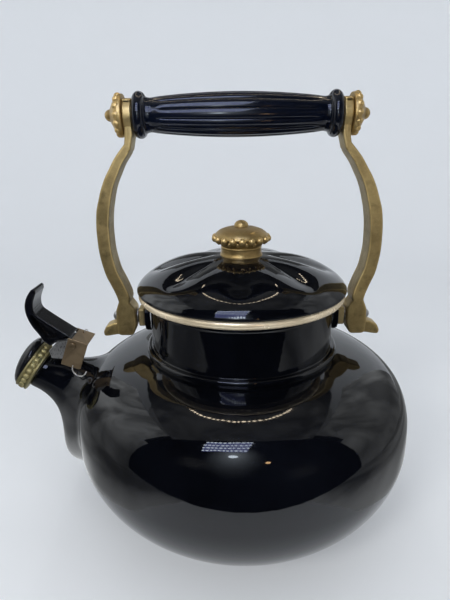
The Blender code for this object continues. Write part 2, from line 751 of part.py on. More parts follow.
def make_rod(parent):
    reach = EYE_OUT_X + 0.0060
    rod = cylinder("handle_tie_rod", (BAIL_LEAN - reach, 0.0, GRIP_Z),
                   (BAIL_LEAN + reach, 0.0, GRIP_Z), ROD_R, 16)
    return finish(rod, STEEL, parent)


def make_finial(name, side, parent):
    """Cone nut on the end of the tie rod."""
    bore = ROD_R + GAP
    depth = 0.0064
    profile = [(0.0, 0.0107), (0.0022, 0.0104), (0.0034, 0.0092), (0.0037, 0.0080),
               (0.0060, 0.0064), (0.0098, 0.0038), (FINIAL_R, 0.0024),
               (FINIAL_R, 0.0010), (FINIAL_R - 0.0012, 0.0), (bore, 0.0),
               (bore, depth), (0.0, depth)]
    nut = turned(name, profile, steps=SMALL_STEPS)
    seat = Vector((BAIL_LEAN + side * (EYE_OUT_X + GAP), 0.0, GRIP_Z))
    along(nut, seat, Vector((side, 0.0, 0.0)))
    return finish(nut, BRASS, parent)


# -------------------------------------------------------------- handle mounts
def make_ear(name, side):
    """Shield-shaped plate on the neck that carries the lug."""
    shield = [(-0.0080, 0.1385), (0.0080, 0.1385), (0.0084, 0.1300),
              (0.0058, 0.1262), (0.0, 0.1232), (-0.0058, 0.1262), (-0.0084, 0.1300)]
    depth = (EAR_OUT_X - 0.0500) / 2
    ear = plate(name, shield, depth)
    ear.data.transform(Matrix.Rotation(math.pi / 2, 4, "Z"))
    ear.data.transform(Matrix.Translation((side * (EAR_OUT_X - depth), 0.0, 0.0)))
    weld(ear.data)
    wall = cylinder("neck_clearance", (0.0, 0.0, 0.1100), (0.0, 0.0, 0.1600),
                    NECK_R + 0.0006, 96)
    cut(ear, as_cutter(wall))
    return finish(ear, ENAMEL)


def make_lug(name, side):
    """Brass block between the ear and the arm's foot."""
    low = min(side * (EAR_OUT_X + GAP), side * LUG_OUT_X)
    high = max(side * (EAR_OUT_X + GAP), side * LUG_OUT_X)
    lug = block(name, (low, -0.0052, PIVOT_Z - 0.0056), (high, 0.0052, PIVOT_Z + 0.0056),
                0.0008)
    bore = cylinder("lug_bore", (side * (EAR_OUT_X - 0.0010), 0.0, PIVOT_Z),
                    (side * 0.0700, 0.0, PIVOT_Z), RIVET_R + GAP, 20)
    cut(lug, as_cutter(bore))
    return finish(lug, BRASS)


def make_rivet(name, side):
    """Domed steel rivet through the foot pad into the lug."""
    head = PAD_OUT_X + GAP
    tail = EAR_OUT_X + 2 * GAP
    profile = [(0.0, head + 0.0027), (0.0016, head + 0.0025), (0.0030, head + 0.0016),
               (0.0036, head), (RIVET_R, head), (RIVET_R, tail), (0.0, tail)]
    rivet = turned(name, profile, steps=20)
    along(rivet, Vector((0.0, 0.0, PIVOT_Z)), Vector((side, 0.0, 0.0)))
    return finish(rivet, STEEL)


def make_washer(name, side):
    low = LUG_OUT_X + GAP
    high = PAD_IN_X - GAP
    bore = RIVET_R + GAP
    profile = [(0.0046, high), (0.0046, low), (bore, low), (bore, high)]
    washer = turned(name, profile, steps=24, closed=True)
    along(washer, Vector((0.0, 0.0, PIVOT_Z)), Vector((side, 0.0, 0.0)))
    return finish(washer, STEEL)


# ---------------------------------------------------------------------- build
def joint_empty(name, location):
    empty = bpy.data.objects.new(name, None)
    empty.location = location
    PARTS.objects.link(empty)
    return empty


def build():
    bpy.context.view_layer.update()
    make_body()
    make_neck()
    make_spout()
    make_bracket()
    make_hinge_pin()
    make_spring()
    make_clip()

    cap_axis = joint_empty("cap_flip_axis", HINGE)
    make_cap(cap_axis)
    make_cap_arm(cap_axis)
    make_lever(cap_axis)

    lid_axis = joint_empty("lid_lift_axis", (0.0, 0.0, LID_EDGE_Z))
    make_lid(lid_axis)
    make_knob(lid_axis)

    handle_axis = joint_empty("handle_fold_axis", (0.0, 0.0, PIVOT_Z))
    make_grip(handle_axis)
    make_rod(handle_axis)
    for side, label in ((-1, "left"), (1, "right")):
        make_arm("handle_arm_" + label, side, handle_axis)
        make_finial("finial_" + label, side, handle_axis)
        make_ear("ear_" + label, side)
        make_lug("lug_" + label, side)
        make_rivet("pivot_rivet_" + label, side)
        make_washer("pivot_washer_" + label, side)


clear_scene()
PARTS = new_collection("whistling_kettle")
CUTTERS = new_collection("cutters")
ENAMEL = new_material("black_enamel", (0.010, 0.011, 0.014), 0.08, 0.0)
BRASS = new_material("aged_brass", (0.30, 0.23, 0.11), 0.42, 1.0)
PALE_BRASS = new_material("rim_gold", (0.62, 0.50, 0.30), 0.25, 1.0)
STEEL = new_material("bright_steel", (0.55, 0.55, 0.56), 0.30, 1.0)
BLACK_PLASTIC = new_material("black_phenolic", (0.012, 0.012, 0.016), 0.18, 0.0)
build()
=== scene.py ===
"""Whistling stove-top kettle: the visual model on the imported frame.

Metres, +Z up, the spout along -X.  Every piece below rides on one of the
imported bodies: kettle, lid, handle or whistle_cap.
"""

from math import acos, asin, cos, hypot, pi, radians, sin, sqrt, tan

import bmesh
import bpy
import numpy as np
from mathutils import Matrix, Vector


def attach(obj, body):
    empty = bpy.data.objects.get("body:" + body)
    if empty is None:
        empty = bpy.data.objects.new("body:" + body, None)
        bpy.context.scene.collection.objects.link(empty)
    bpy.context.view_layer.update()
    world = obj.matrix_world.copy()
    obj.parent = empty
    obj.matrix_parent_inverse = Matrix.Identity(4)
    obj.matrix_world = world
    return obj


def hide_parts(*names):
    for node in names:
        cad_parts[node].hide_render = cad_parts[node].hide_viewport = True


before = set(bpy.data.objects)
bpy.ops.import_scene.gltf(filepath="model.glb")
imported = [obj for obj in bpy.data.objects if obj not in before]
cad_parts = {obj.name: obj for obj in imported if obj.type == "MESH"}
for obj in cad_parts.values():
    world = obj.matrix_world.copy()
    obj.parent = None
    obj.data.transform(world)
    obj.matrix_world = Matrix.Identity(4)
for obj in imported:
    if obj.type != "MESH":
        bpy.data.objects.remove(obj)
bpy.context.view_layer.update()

# --- dimensions
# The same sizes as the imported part, in metres.
BODY_R = 0.105
BODY_MID_Z = 0.0626
BODY_TOP_RISE = 0.0536
BODY_LOW_DROP = 0.0720
BODY_TOP_POWER = 3.13
BODY_LOW_POWER = 1.91
BODY_WALL = 0.0014
BASE_LIFT = 0.0014          # the base's middle stands this far off the hob
NECK_R = 0.0562
NECK_TOP_Z = 0.1470
NECK_BEAD_R = 0.0596
NECK_BEAD_Z = 0.1156
LID_R = 0.0634
LID_EDGE_Z = 0.1530
LID_RISE = 0.0194
LID_SOFT_SHARE = 0.55
LID_SOFT_POWER = 2.2
LID_EDGE_POWER = 4.0
LID_LOBES = 8
LID_WALL = 0.0012
LID_EYE_R = 0.0030          # the lid is level inside this radius, under the knob
KNOB_TOP_Z = 0.1928
MOUTH = Vector((-0.1348, 0.0, 0.0992))
MOUTH_TILT = radians(36.0)
MOUTH_R = 0.0118
LIP_BACK = 0.0067           # start of the straight lip behind the ring's centre
LIP_END = 0.0041            # end of the lip behind the ring's centre
SPOUT_HALF_W = 0.0464
SPOUT_WALL = 0.0014
SPOUT_TAPER = 1.95          # power by which the spout narrows to its lip
SPOUT_EGG = 0.59            # share by which the root is wider above its middle
SPOUT_EGG_FADE = 0.93       # power by which the section turns round at the lip
SPOUT_KEEL = ((-0.0830, 0.0270), (-0.1510, 0.0160), (-0.0985, 0.0615))
SPOUT_RIDGE = ((-0.0838, 0.1026), (-0.0960, 0.1010), (-0.1050, 0.1028))
HINGE = Vector((-0.1058, 0.0, 0.1168))
BRACKET_TILT = radians(-20.8)
PIVOT_Z = 0.1335
GRIP_Z = 0.2506
BAIL_LEAN = -0.0023
EYE_FOOT_Z = 0.2390
X, Y, Z = Vector((1, 0, 0)), Vector((0, 1, 0)), Vector((0, 0, 1))
MOUTH_AXIS = Vector((-cos(MOUTH_TILT), 0.0, sin(MOUTH_TILT)))
MOUTH_UP = Vector((sin(MOUTH_TILT), 0.0, cos(MOUTH_TILT)))


# --- mesh helpers
def new_object(name, data):
    obj = bpy.data.objects.new(name, data)
    bpy.context.scene.collection.objects.link(obj)
    return obj


def add_mesh(name, verts, faces, sharp=None):
    """A mesh object with outward faces, smooth except at sharp angles."""
    mesh = bpy.data.meshes.new(name)
    mesh.from_pydata([tuple(v) for v in verts], [], faces)
    bm = bmesh.new()
    bm.from_mesh(mesh)
    bmesh.ops.remove_doubles(bm, verts=bm.verts, dist=1e-6)
    bmesh.ops.recalc_face_normals(bm, faces=bm.faces)
    bm.to_mesh(mesh)
    bm.free()
    mesh.shade_smooth()
    if sharp:
        mesh.set_sharp_from_angle(angle=radians(sharp))
    return new_object(name, mesh)


def skin(rows, closed=False):
    """Vertices and faces that join rings of equal length; one-point rings are poles."""
    verts, faces, starts = [], [], []
    for row in rows:
        starts.append(len(verts))
        verts.extend(row)
    pairs = list(zip(range(len(rows)), range(1, len(rows))))
    if closed:
        pairs.append((len(rows) - 1, 0))
    for a, b in pairs:
        na, nb = len(rows[a]), len(rows[b])
        if na == nb == 1:
            continue
        sa, sb = starts[a], starts[b]
        for i in range(max(na, nb)):
            j = (i + 1) % max(na, nb)
            if na == 1:
                faces.append((sa, sb + j, sb + i))
            elif nb == 1:
                faces.append((sa + i, sa + j, sb))
            else:
                faces.append((sa + i, sa + j, sb + j, sb + i))
    return verts, faces


def placed(origin, axis, up):
    """Matrix whose local Z is axis and whose local Y is as near up as it can be."""
    z = axis.normalized()
    x = up.cross(z).normalized()
    y = z.cross(x)
    turn = Matrix((x, y, z)).transposed().to_4x4()
    return Matrix.Translation(origin) @ turn


def lathe_rows(profile, steps, shape=None):
    """Rings of a turned profile of (radius, height); shape may move each point."""
    rows = []
    for r, z in profile:
        if r < 1e-7:
            rows.append([Vector((0.0, 0.0, z))])
            continue
        ring = []
        for k in range(steps):
            angle = 2 * pi * k / steps
            rr, zz = shape(r, z, angle) if shape else (r, z)
            ring.append(Vector((rr * cos(angle), rr * sin(angle), zz)))
        rows.append(ring)
    return rows


def lathe(name, profile, steps=96, closed=False, at=None, shape=None, sharp=40):
    verts, faces = skin(lathe_rows(profile, steps, shape), closed)
    if at:
        verts = [at @ v for v in verts]
    return add_mesh(name, verts, faces, sharp)


def arc(centre, radius, start, end, count):
    """Points of a circular arc, degrees from the first axis to the second."""
    turns = [radians(start + (end - start) * i / (count - 1)) for i in range(count)]
    return [(centre[0] + radius * cos(t), centre[1] + radius * sin(t))
            for t in turns]


def rounded(points, closed=False, count=5):
    """Round the corners of a line; a point may carry its own radius as third value."""
    out = []
    last = len(points) - 1
    for i, point in enumerate(points):
        here = Vector(point[:2])
        radius = point[2] if len(point) > 2 else 0.0
        if radius == 0.0 or (not closed and i in (0, last)):
            out.append(tuple(here))
            continue
        back = Vector(points[i - 1][:2]) - here
        ahead = Vector(points[(i + 1) % len(points)][:2]) - here
        half = back.angle(ahead) / 2
        reach = min(radius / tan(half), back.length * 0.48, ahead.length * 0.48)
        start = here + back.normalized() * reach
        end = here + ahead.normalized() * reach
        for k in range(count):
            t = k / (count - 1)
            out.append(tuple(start * (1 - t) ** 2 + here * 2 * t * (1 - t) + end * t * t))
    return out


def smooth_line(points, per_span=8):
    """A Catmull-Rom curve through points of two or three dimensions."""
    ends = [points[0], *points, points[-1]]
    line = []
    for i in range(1, len(ends) - 2):
        a, b, c, d = (np.array(p, float) for p in ends[i - 1:i + 3])
        for k in range(per_span):
            t = k / per_span
            line.append(tuple(0.5 * (2 * b + (c - a) * t + (2 * a - 5 * b + 4 * c - d) * t * t
                                     + (3 * b - 3 * c + d - a) * t ** 3)))
    line.append(tuple(points[-1]))
    return line


def thinned(points, least):
    """Leave out points that are nearer than least to the one before."""
    kept = [points[0]]
    for p in points[1:]:
        if (Vector(p) - Vector(kept[-1])).length >= least:
            kept.append(p)
    if (Vector(kept[-1]) - Vector(kept[0])).length < least:
        kept.pop()
    return kept


def inset(outline, distance):
    """Move a closed outline inwards by a small distance."""
    pts = np.array(outline, float)
    edge = np.roll(pts, -1, axis=0) - pts
    edge /= np.linalg.norm(edge, axis=1)[:, None]
    normal = np.stack([-edge[:, 1], edge[:, 0]], axis=1)
    area = np.sum(pts[:, 0] * np.roll(pts[:, 1], -1) - np.roll(pts[:, 0], -1) * pts[:, 1])
    if area < 0:
        normal = -normal
    mean = normal + np.roll(normal, 1, axis=0)
    length = np.linalg.norm(mean, axis=1)[:, None]
    mean /= np.maximum(length, 0.4)
    share = np.clip(np.sum(mean * normal, axis=1), 0.55, 1.0)[:, None]
    return pts + mean * distance / share


def slab_parts(outline, low, high, edge):
    """An outline in the XZ plane as a solid from y = low to y = high with rounded rims."""
    levels = [(low, edge * 1.5)]
    for i in range(4, -1, -1):
        turn = pi / 2 * i / 4
        levels.append((low + edge * (1 - sin(turn)), edge * (1 - cos(turn))))
    levels += [(high - (y - low), inner) for y, inner in levels[::-1]]
    verts, faces = skin([[Vector((x, y, z)) for x, z in inset(outline, inner)]
                         for y, inner in levels])
    n = len(outline)
    faces.append(tuple(range(n)))
    faces.append(tuple(range(len(verts) - n, len(verts))))
    return verts, faces


def ball_parts(centre, radii, steps=12, rings=7, axes=(X, Y, Z)):
    """A small ellipsoid as vertices and faces."""
    rows = []
    for i in range(rings + 1):
        turn = pi * i / rings
        if i in (0, rings):
            rows.append([centre + axes[2] * radii[2] * cos(turn)])
            continue
        ring = []
        for k in range(steps):
            angle = 2 * pi * k / steps
            ring.append(centre + axes[2] * radii[2] * cos(turn)
                        + (axes[0] * radii[0] * cos(angle)
                           + axes[1] * radii[1] * sin(angle)) * sin(turn))
        rows.append(ring)
    return skin(rows)


def bead_ring(count, radius, height, size, phase=0.0):
    """Beads round the local Z axis, each a little longer along the ring."""
    parts = []
    for k in range(count):
        angle = 2 * pi * (k + phase) / count
        out = Vector((cos(angle), sin(angle), 0.0))
        side = Vector((-sin(angle), cos(angle), 0.0))
        parts.append(ball_parts(out * radius + Z * height, size, axes=(out, side, Z)))
    return parts


def joined(name, parts, at=None, sharp=40):
    """One object from several closed shells of vertices and faces."""
    verts, faces = [], []
    for more_verts, more_faces in parts:
        base = len(verts)
        verts.extend(more_verts)
        faces.extend(tuple(base + i for i in face) for face in more_faces)
    if at:
        verts = [at @ v for v in verts]
    return add_mesh(name, verts, faces, sharp)


def tube_parts(points, radius, sides=12):
    """A round wire along three-dimensional points, closed at both ends."""
    pts = [Vector(p) for p in points]
    normal = None
    rows = []
    for i, p in enumerate(pts):
        run = (pts[min(i + 1, len(pts) - 1)] - pts[max(i - 1, 0)]).normalized()
        if normal is None:
            normal = run.orthogonal().normalized()
        normal = (normal - run * normal.dot(run)).normalized()
        other = run.cross(normal)
        rows.append([p + (normal * cos(a) + other * sin(a)) * radius
                     for a in (2 * pi * k / sides for k in range(sides))])
    rows.insert(0, [pts[0]])
    rows.append([pts[-1]])
    return skin(rows)


def cad_copy(name, node, edge=0.0003, segments=2):
    """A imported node's own shape with softened edges."""
    obj = new_object(name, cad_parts[node].data.copy())
    bm = bmesh.new()
    bm.from_mesh(obj.data)
    bmesh.ops.remove_doubles(bm, verts=bm.verts, dist=2e-6)
    bmesh.ops.dissolve_limit(bm, angle_limit=radians(1.0), verts=bm.verts,
                             edges=bm.edges)
    bm.to_mesh(obj.data)
    bm.free()
    bevel = obj.modifiers.new("Soft edges", "BEVEL")
    bevel.width = edge
    bevel.segments = segments
    bevel.limit_method = "ANGLE"
    bevel.angle_limit = radians(40)
    obj.data.shade_smooth()
    obj.data.set_sharp_from_angle(angle=radians(40))
    return keep_flat(obj)


def carve(obj, cutter, operation="DIFFERENCE"):
    """Cut with another object, or join it, and drop that object."""
    mod = obj.modifiers.new("Cut", "BOOLEAN")
    mod.operation = operation
    mod.solver = "EXACT"
    mod.object = cutter
    bpy.context.view_layer.update()
    ready = obj.evaluated_get(bpy.context.evaluated_depsgraph_get())
    cut = bpy.data.meshes.new_from_object(ready)
    obj.modifiers.clear()
    obj.data = cut
    bpy.data.objects.remove(cutter, do_unlink=True)
    return obj


def keep_flat(obj):
    """Keep large flat faces flat beside their rounded rims."""
    flat = obj.modifiers.new("Flat faces", "WEIGHTED_NORMAL")
    flat.keep_sharp = True
    return obj


def fit(obj, body, material, slot, *nodes):
    """Give a piece its body, material and the nodes it replaces; slot is not used."""
    obj.data.materials.clear()
    for one in material if isinstance(material, tuple) else (material,):
        obj.data.materials.append(one)
    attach(obj, body)
    if nodes:
        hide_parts(*nodes)
    return obj


# --- materials
class Nodes:
    """Short calls for building one material."""

    def __init__(self, name, metallic=0.0):
        self.mat = bpy.data.materials.new(name)
        self.mat.use_nodes = True
        self.tree = self.mat.node_tree
        self.shader = self.tree.nodes["Principled BSDF"]
        self.place = self.node("TexCoord").outputs["Object"]
        self.surface(Metallic=metallic)

    def feed(self, value, socket):
        if isinstance(value, bpy.types.NodeSocket):
            self.tree.links.new(value, socket)
        elif socket.type == "RGBA":
            socket.default_value = (*value, 1.0)
        else:
            socket.default_value = value

    def node(self, kind, **inputs):
        """A new node, its inputs set to numbers or linked; From_Min is From Min."""
        node = self.tree.nodes.new("ShaderNode" + kind)
        for key, value in inputs.items():
            self.feed(value, node.inputs[key.replace("_", " ")])
        return node

    def surface(self, **inputs):
        """Set or link inputs of the shader, and give the material."""
        for key, value in inputs.items():
            self.feed(value, self.shader.inputs[key.replace("_", " ")])
        return self.mat

    def noise(self, scale, detail=3.0, rough=0.5, stretch=None, distort=0.0):
        place = self.stretched(stretch) if stretch else self.place
        return self.node("TexNoise", Scale=scale, Detail=detail, Roughness=rough,
                         Distortion=distort, Vector=place).outputs["Fac"]

    def spots(self, scale):
        return self.node("TexVoronoi", Scale=scale, Vector=self.place).outputs["Distance"]

    def stretched(self, stretch):
        return self.node("Mapping", Scale=stretch, Vector=self.place).outputs["Vector"]

    def ramp(self, value, low, high, colours):
        """The first colour below low, the second above high."""
        node = self.node("ValToRGB", Fac=value)
        for stop, place, colour in zip(node.color_ramp.elements, (low, high), colours):
            stop.position = place
            stop.color = (*colour, 1.0)
        return node.outputs["Color"]

    def grey(self, value, low, high, dark, light):
        return self.ramp(value, low, high, ((dark,) * 3, (light,) * 3))

    def span(self, value, low, high, to_low, to_high):
        return self.node("MapRange", Value=value, From_Min=low, From_Max=high, To_Min=to_low,
                         To_Max=to_high).outputs["Result"]

    def mix(self, share, one, two, blend="MIX"):
        node = self.node("Mix")
        node.data_type = "RGBA"
        node.blend_type = blend
        for key, value in (("Factor", share), ("A", one), ("B", two)):
            self.feed(value, node.inputs[key])
        return node.outputs["Result"]

    def product(self, one, two):
        node = self.node("Math")
        node.operation = "MULTIPLY"
        self.feed(one, node.inputs[0])
        self.feed(two, node.inputs[1])
        return node.outputs["Value"]

    def edges(self, most, low=0.49, high=0.56):
        """Nothing on hollows and flats, rising to most on raised edges."""
        return self.span(self.node("NewGeometry").outputs["Pointiness"], low, high, 0.0, most)

    def bump(self, height, strength, distance, below=None):
        node = self.node("Bump", Strength=strength, Distance=distance, Height=height)
        if below:
            self.feed(below, node.inputs["Normal"])
        return node.outputs["Normal"]


def enamel_material(name):
    """Vitreous enamel: deep gloss, faint waviness, dust and hairline scratches."""
    m = Nodes(name)
    tint = (0.0010, 0.0012, 0.0020)
    dust = m.span(m.spots(900.0), 0.0, 0.16, 1.0, 0.0)
    where = m.span(m.noise(38.0, 2.0), 0.52, 0.72, 0.0, 1.0)
    specks = m.mix(where, (0.0, 0.0, 0.0), dust)
    haze = m.ramp(m.noise(14.0, 5.0, 0.6), 0.35, 0.75, (tint, tuple(c * 3.0 for c in tint)))
    colour = m.mix(m.span(specks, 0.3, 1.0, 0.0, 0.30), haze, (0.06, 0.063, 0.07))
    smear = m.grey(m.noise(22.0, 4.0, 0.6, (1.0, 1.0, 2.2), 0.6), 0.35, 0.75, 0.03, 0.075)
    wave = m.bump(m.noise(75.0, 2.0), 0.15, 0.0006)
    scratch = m.noise(420.0, 2.0, 0.5, (0.12, 1.0, 1.0))
    return m.surface(Base_Color=colour, Roughness=m.mix(specks, smear, (0.5, 0.5, 0.5)),
                     Normal=m.bump(scratch, 0.02, 0.0002, wave), IOR=1.52)


def brass_material(name, dark, light, shine=(0.34, 0.56), grain=0.25, cast=260.0,
                   patina=None, patina_share=(0.55, 0.75)):
    """Aged brass: mottled colour, cast grain, patina, and raised edges painted lighter, partly as
    rubbed wear and partly as a painted highlight.
    """
    m = Nodes(name, 0.90)
    mottled = m.ramp(m.noise(60.0, 5.0, 0.62), 0.30, 0.70, (dark, light))
    fine = m.grey(m.noise(700.0, 3.0, 0.6), 0.30, 0.75, 0.62, 1.0)
    colour = m.mix(0.55, mottled, fine, "MULTIPLY")
    if patina:
        share = m.span(m.noise(180.0, 5.0, 0.65), *patina_share, 0.0, 0.85)
        colour = m.mix(share, colour, patina)
    # raised edges painted lighter: partly rubbed wear, partly a painted highlight
    colour = m.mix(m.edges(0.55), colour, tuple(min(1.0, c * 1.75) for c in light))
    pits = m.bump(m.noise(cast, 4.0, 0.6), grain, 0.0006)
    return m.surface(Base_Color=colour,
                     Roughness=m.grey(m.noise(95.0, 4.0, 0.6), 0.30, 0.75, *shine),
                     Normal=m.bump(m.noise(1500.0, 2.0), 0.12, 0.0002, pits))


def steel_material(name, colour=(0.50, 0.50, 0.51), stretch=(1.0, 14.0, 1.0)):
    """Drawn steel with fine lines, faint stains and a painted highlight on raised edges."""
    m = Nodes(name, 1.0)
    lines = m.noise(420.0, 3.0, 0.5, stretch)
    stains = m.ramp(m.noise(120.0, 4.0, 0.6), 0.35, 0.70,
                    (tuple(c * 0.55 for c in colour), colour))
    # raised edges are painted near white: a painted highlight
    return m.surface(Base_Color=m.mix(m.edges(0.7), stains, (0.85, 0.85, 0.86)),
                     Roughness=m.grey(lines, 0.3, 0.7, 0.22, 0.42),
                     Normal=m.bump(lines, 0.10, 0.0003))


def gold_material(name):
    """Thin gold-coloured band, a little worn and finger-marked."""
    m = Nodes(name, 0.6)
    worn = m.ramp(m.noise(48.0, 4.0, 0.6), 0.30, 0.72, ((0.80, 0.65, 0.43), (0.97, 0.84, 0.63)))
    return m.surface(Base_Color=worn,
                     Roughness=m.grey(m.noise(130.0, 4.0, 0.6), 0.30, 0.75, 0.20, 0.30),
                     Normal=m.bump(m.noise(90.0, 2.0), 0.04, 0.0003))


def phenolic_material(name, tint=(0.0016, 0.0018, 0.0030)):
    """Moulded black phenolic: glossy, with faint flow marks and a painted highlight on raised
    ridges.
    """
    m = Nodes(name)
    base = m.ramp(m.noise(30.0, 4.0, 0.6), 0.35, 0.75, (tint, tuple(c * 2.0 for c in tint)))
    # raised ridges are painted grey: a painted highlight
    return m.surface(Base_Color=m.mix(m.edges(0.4, 0.50, 0.60), base, (0.030, 0.030, 0.034)),
                     Roughness=m.grey(m.noise(70.0, 4.0, 0.6), 0.35, 0.75, 0.07, 0.16),
                     Normal=m.bump(m.noise(240.0, 3.0), 0.05, 0.0003))


ENAMEL = enamel_material("black_enamel")
BRASS = brass_material("aged_brass", (0.270, 0.190, 0.078), (0.490, 0.372, 0.168),
                       patina=(0.085, 0.066, 0.030), patina_share=(0.50, 0.80))
CAST = brass_material("rough_cast_brass", (0.160, 0.120, 0.056), (0.340, 0.272, 0.142),
                      (0.42, 0.62), 0.75, 420.0, (0.070, 0.055, 0.026), (0.50, 0.78))
KNOB_BRASS = brass_material("rubbed_brass", (0.300, 0.200, 0.074), (0.520, 0.372, 0.160),
                            (0.30, 0.46), 0.22)
RING_BRASS = brass_material("stained_brass", (0.180, 0.150, 0.066), (0.350, 0.305, 0.155),
                            (0.40, 0.62), 0.5, 380.0, (0.120, 0.138, 0.072), (0.42, 0.66))
BRACKET_BRASS = brass_material("brown_brass", (0.078, 0.055, 0.032), (0.285, 0.212, 0.132),
                               (0.28, 0.46), 0.45, 240.0)
GOLD = gold_material("rim_gold")
STEEL = steel_material("bright_steel")
CHEEK_STEEL = steel_material("stained_steel", (0.42, 0.42, 0.43), (8.0, 1.0, 1.0))
PHENOLIC = phenolic_material("black_phenolic")
GRIP_PHENOLIC = phenolic_material("grip_phenolic", (0.0014, 0.0024, 0.0062))


# --- body
def body_height(radius):
    """Height of the body's upper half at a radius."""
    ratio = min(1.0, radius / BODY_R)
    rise = (1.0 - ratio ** BODY_TOP_POWER) ** (1.0 / BODY_TOP_POWER)
    return BODY_MID_Z + BODY_TOP_RISE * rise


def body_level(p):
    """Below zero inside the body, above zero outside."""
    radius = hypot(p.x, p.y) / BODY_R
    up = p.z - BODY_MID_Z
    rise, power = (BODY_TOP_RISE, BODY_TOP_POWER) if up > 0 else (BODY_LOW_DROP, BODY_LOW_POWER)
    return (radius ** power + (abs(up) / rise) ** power) ** (1.0 / power) - 1.0


def body_normal(p):
    step = 1e-5
    slope = [body_level(p + axis * step) - body_level(p - axis * step) for axis in (X, Y, Z)]
    return Vector(slope).normalized()


def onto_body(p, sink=0.0):
    """The nearest point of the body's surface, sunk a little."""
    for _ in range(4):
        n = body_normal(p)
        grade = (body_level(p + n * 1e-5) - body_level(p)) / 1e-5
        p = p - n * (body_level(p) / grade)
    return p - body_normal(p) * sink


def body_side(top_r, base_z, shrink, spans):
    """Points down the side from the neck hole to the base."""
    widest = BODY_R - shrink

    def at(turn, rise, power):
        return (widest * cos(turn) ** (2 / power),
                BODY_MID_Z + rise * sin(turn) ** (2 / power))

    top_turn = acos((top_r / widest) ** (BODY_TOP_POWER / 2))
    drop = (BODY_MID_Z - base_z) / (BODY_LOW_DROP - shrink)
    low_turn = asin(drop ** (BODY_LOW_POWER / 2))
    upper = [at(top_turn * (1.0 - i / spans), BODY_TOP_RISE - shrink, BODY_TOP_POWER)
             for i in range(spans)]
    return upper + [at(low_turn * i / spans, shrink - BODY_LOW_DROP, BODY_LOW_POWER)
                    for i in range(spans + 1)]


def make_body():
    """Pressed shell with a flat base, and the neck with its bead and rolled top."""
    hole_r = NECK_R - 0.0004
    outer = body_side(hole_r, 0.0010, 0.0, 44)
    foot_r = outer[-1][0]
    base = [(foot_r - 0.0016, 0.0003), (foot_r - 0.0034, 0.0), (foot_r - 0.0062, 0.0),
            (foot_r - 0.0076, 0.0009), (0.0300, 0.0010), (0.0292, BASE_LIFT),
            (0.0, BASE_LIFT)]
    inner = [(0.0, BASE_LIFT + BODY_WALL)]
    inner += body_side(hole_r, BASE_LIFT + BODY_WALL, BODY_WALL, 24)[::-1]
    body = lathe("body_enamel", outer + base + inner, 160, closed=True, sharp=60)
    fit(body, "kettle", ENAMEL, "black_enamel", "kettle_body")

    foot_z = body_height(0.0590) - 0.0006
    profile = arc((NECK_R - 0.0001, NECK_TOP_Z - 0.0010), 0.0010, 150, -50, 12)
    profile += [(NECK_R + 0.0001, NECK_TOP_Z - 0.0026), (NECK_R, NECK_TOP_Z - 0.0040)]
    profile += [(NECK_R, NECK_BEAD_Z + 0.0070)]
    profile += rounded([(NECK_R, NECK_BEAD_Z + 0.0062), (NECK_R, NECK_BEAD_Z + 0.0020, 0.0036),
                        (NECK_BEAD_R - 0.0018, NECK_BEAD_Z + 0.0019)], count=10)[1:]
    profile += arc((NECK_BEAD_R - 0.0019, NECK_BEAD_Z), 0.0019, 75, -40, 12)
    profile += [(NECK_BEAD_R - 0.0007, foot_z), (NECK_R - 0.0013, foot_z - 0.0016)]
    profile += [(NECK_R - 0.0013, NECK_TOP_Z - 0.0014)]
    neck = lathe("neck_enamel", profile, 160, closed=True, sharp=60)
    fit(neck, "kettle", ENAMEL, "black_enamel", "neck_collar")


# --- spout
def bezier(points, t):
    s = 1.0 - t
    weights = (s * s * s, 3 * s * s * t, 3 * s * t * t, t * t * t)
    return sum((Vector((p[0], 0.0, p[1])) * w for w, p in zip(weights, points)), Vector())


def spout_point(t, angle, shrink=0.0):
    """A point of the spout: t along it from the body, angle round it from the ridge."""
    lip = MOUTH - MOUTH_AXIS * LIP_BACK
    low, high = lip - MOUTH_UP * MOUTH_R, lip + MOUTH_UP * MOUTH_R
    keel = bezier((*SPOUT_KEEL, (low.x, low.z)), t)
    ridge = bezier((*SPOUT_RIDGE, (high.x, high.z)), t)
    half = (ridge - keel) / 2
    half_w = MOUTH_R + (SPOUT_HALF_W - MOUTH_R) * (1.0 - t) ** SPOUT_TAPER - shrink
    egg = SPOUT_EGG * (1.0 - t) ** SPOUT_EGG_FADE
    rise = cos(angle)
    width = half_w * sin(angle) * (1.0 + egg * rise) / (1.0 + egg / 4)
    return (ridge + keel) / 2 + half.normalized() * (half.length - shrink) * rise + Y * width


def seam_share(angle):
    """How far along the spout it comes out of the body, at an angle."""
    low, high = 0.0, 1.0
    for _ in range(24):
        mid = (low + high) / 2
        if body_level(spout_point(mid, angle)) < 0:
            low = mid
        else:
            high = mid
    return high


def spout_normal(t, angle):
    step = 1e-3
    along = spout_point(min(1.0, t + step), angle) - spout_point(t - step, angle)
    round_it = spout_point(t, angle + step) - spout_point(t, angle - step)
    normal = along.cross(round_it).normalized()
    centre = (spout_point(t, 0.0) + spout_point(t, pi)) / 2
    return normal if normal.dot(spout_point(t, angle) - centre) > 0 else -normal


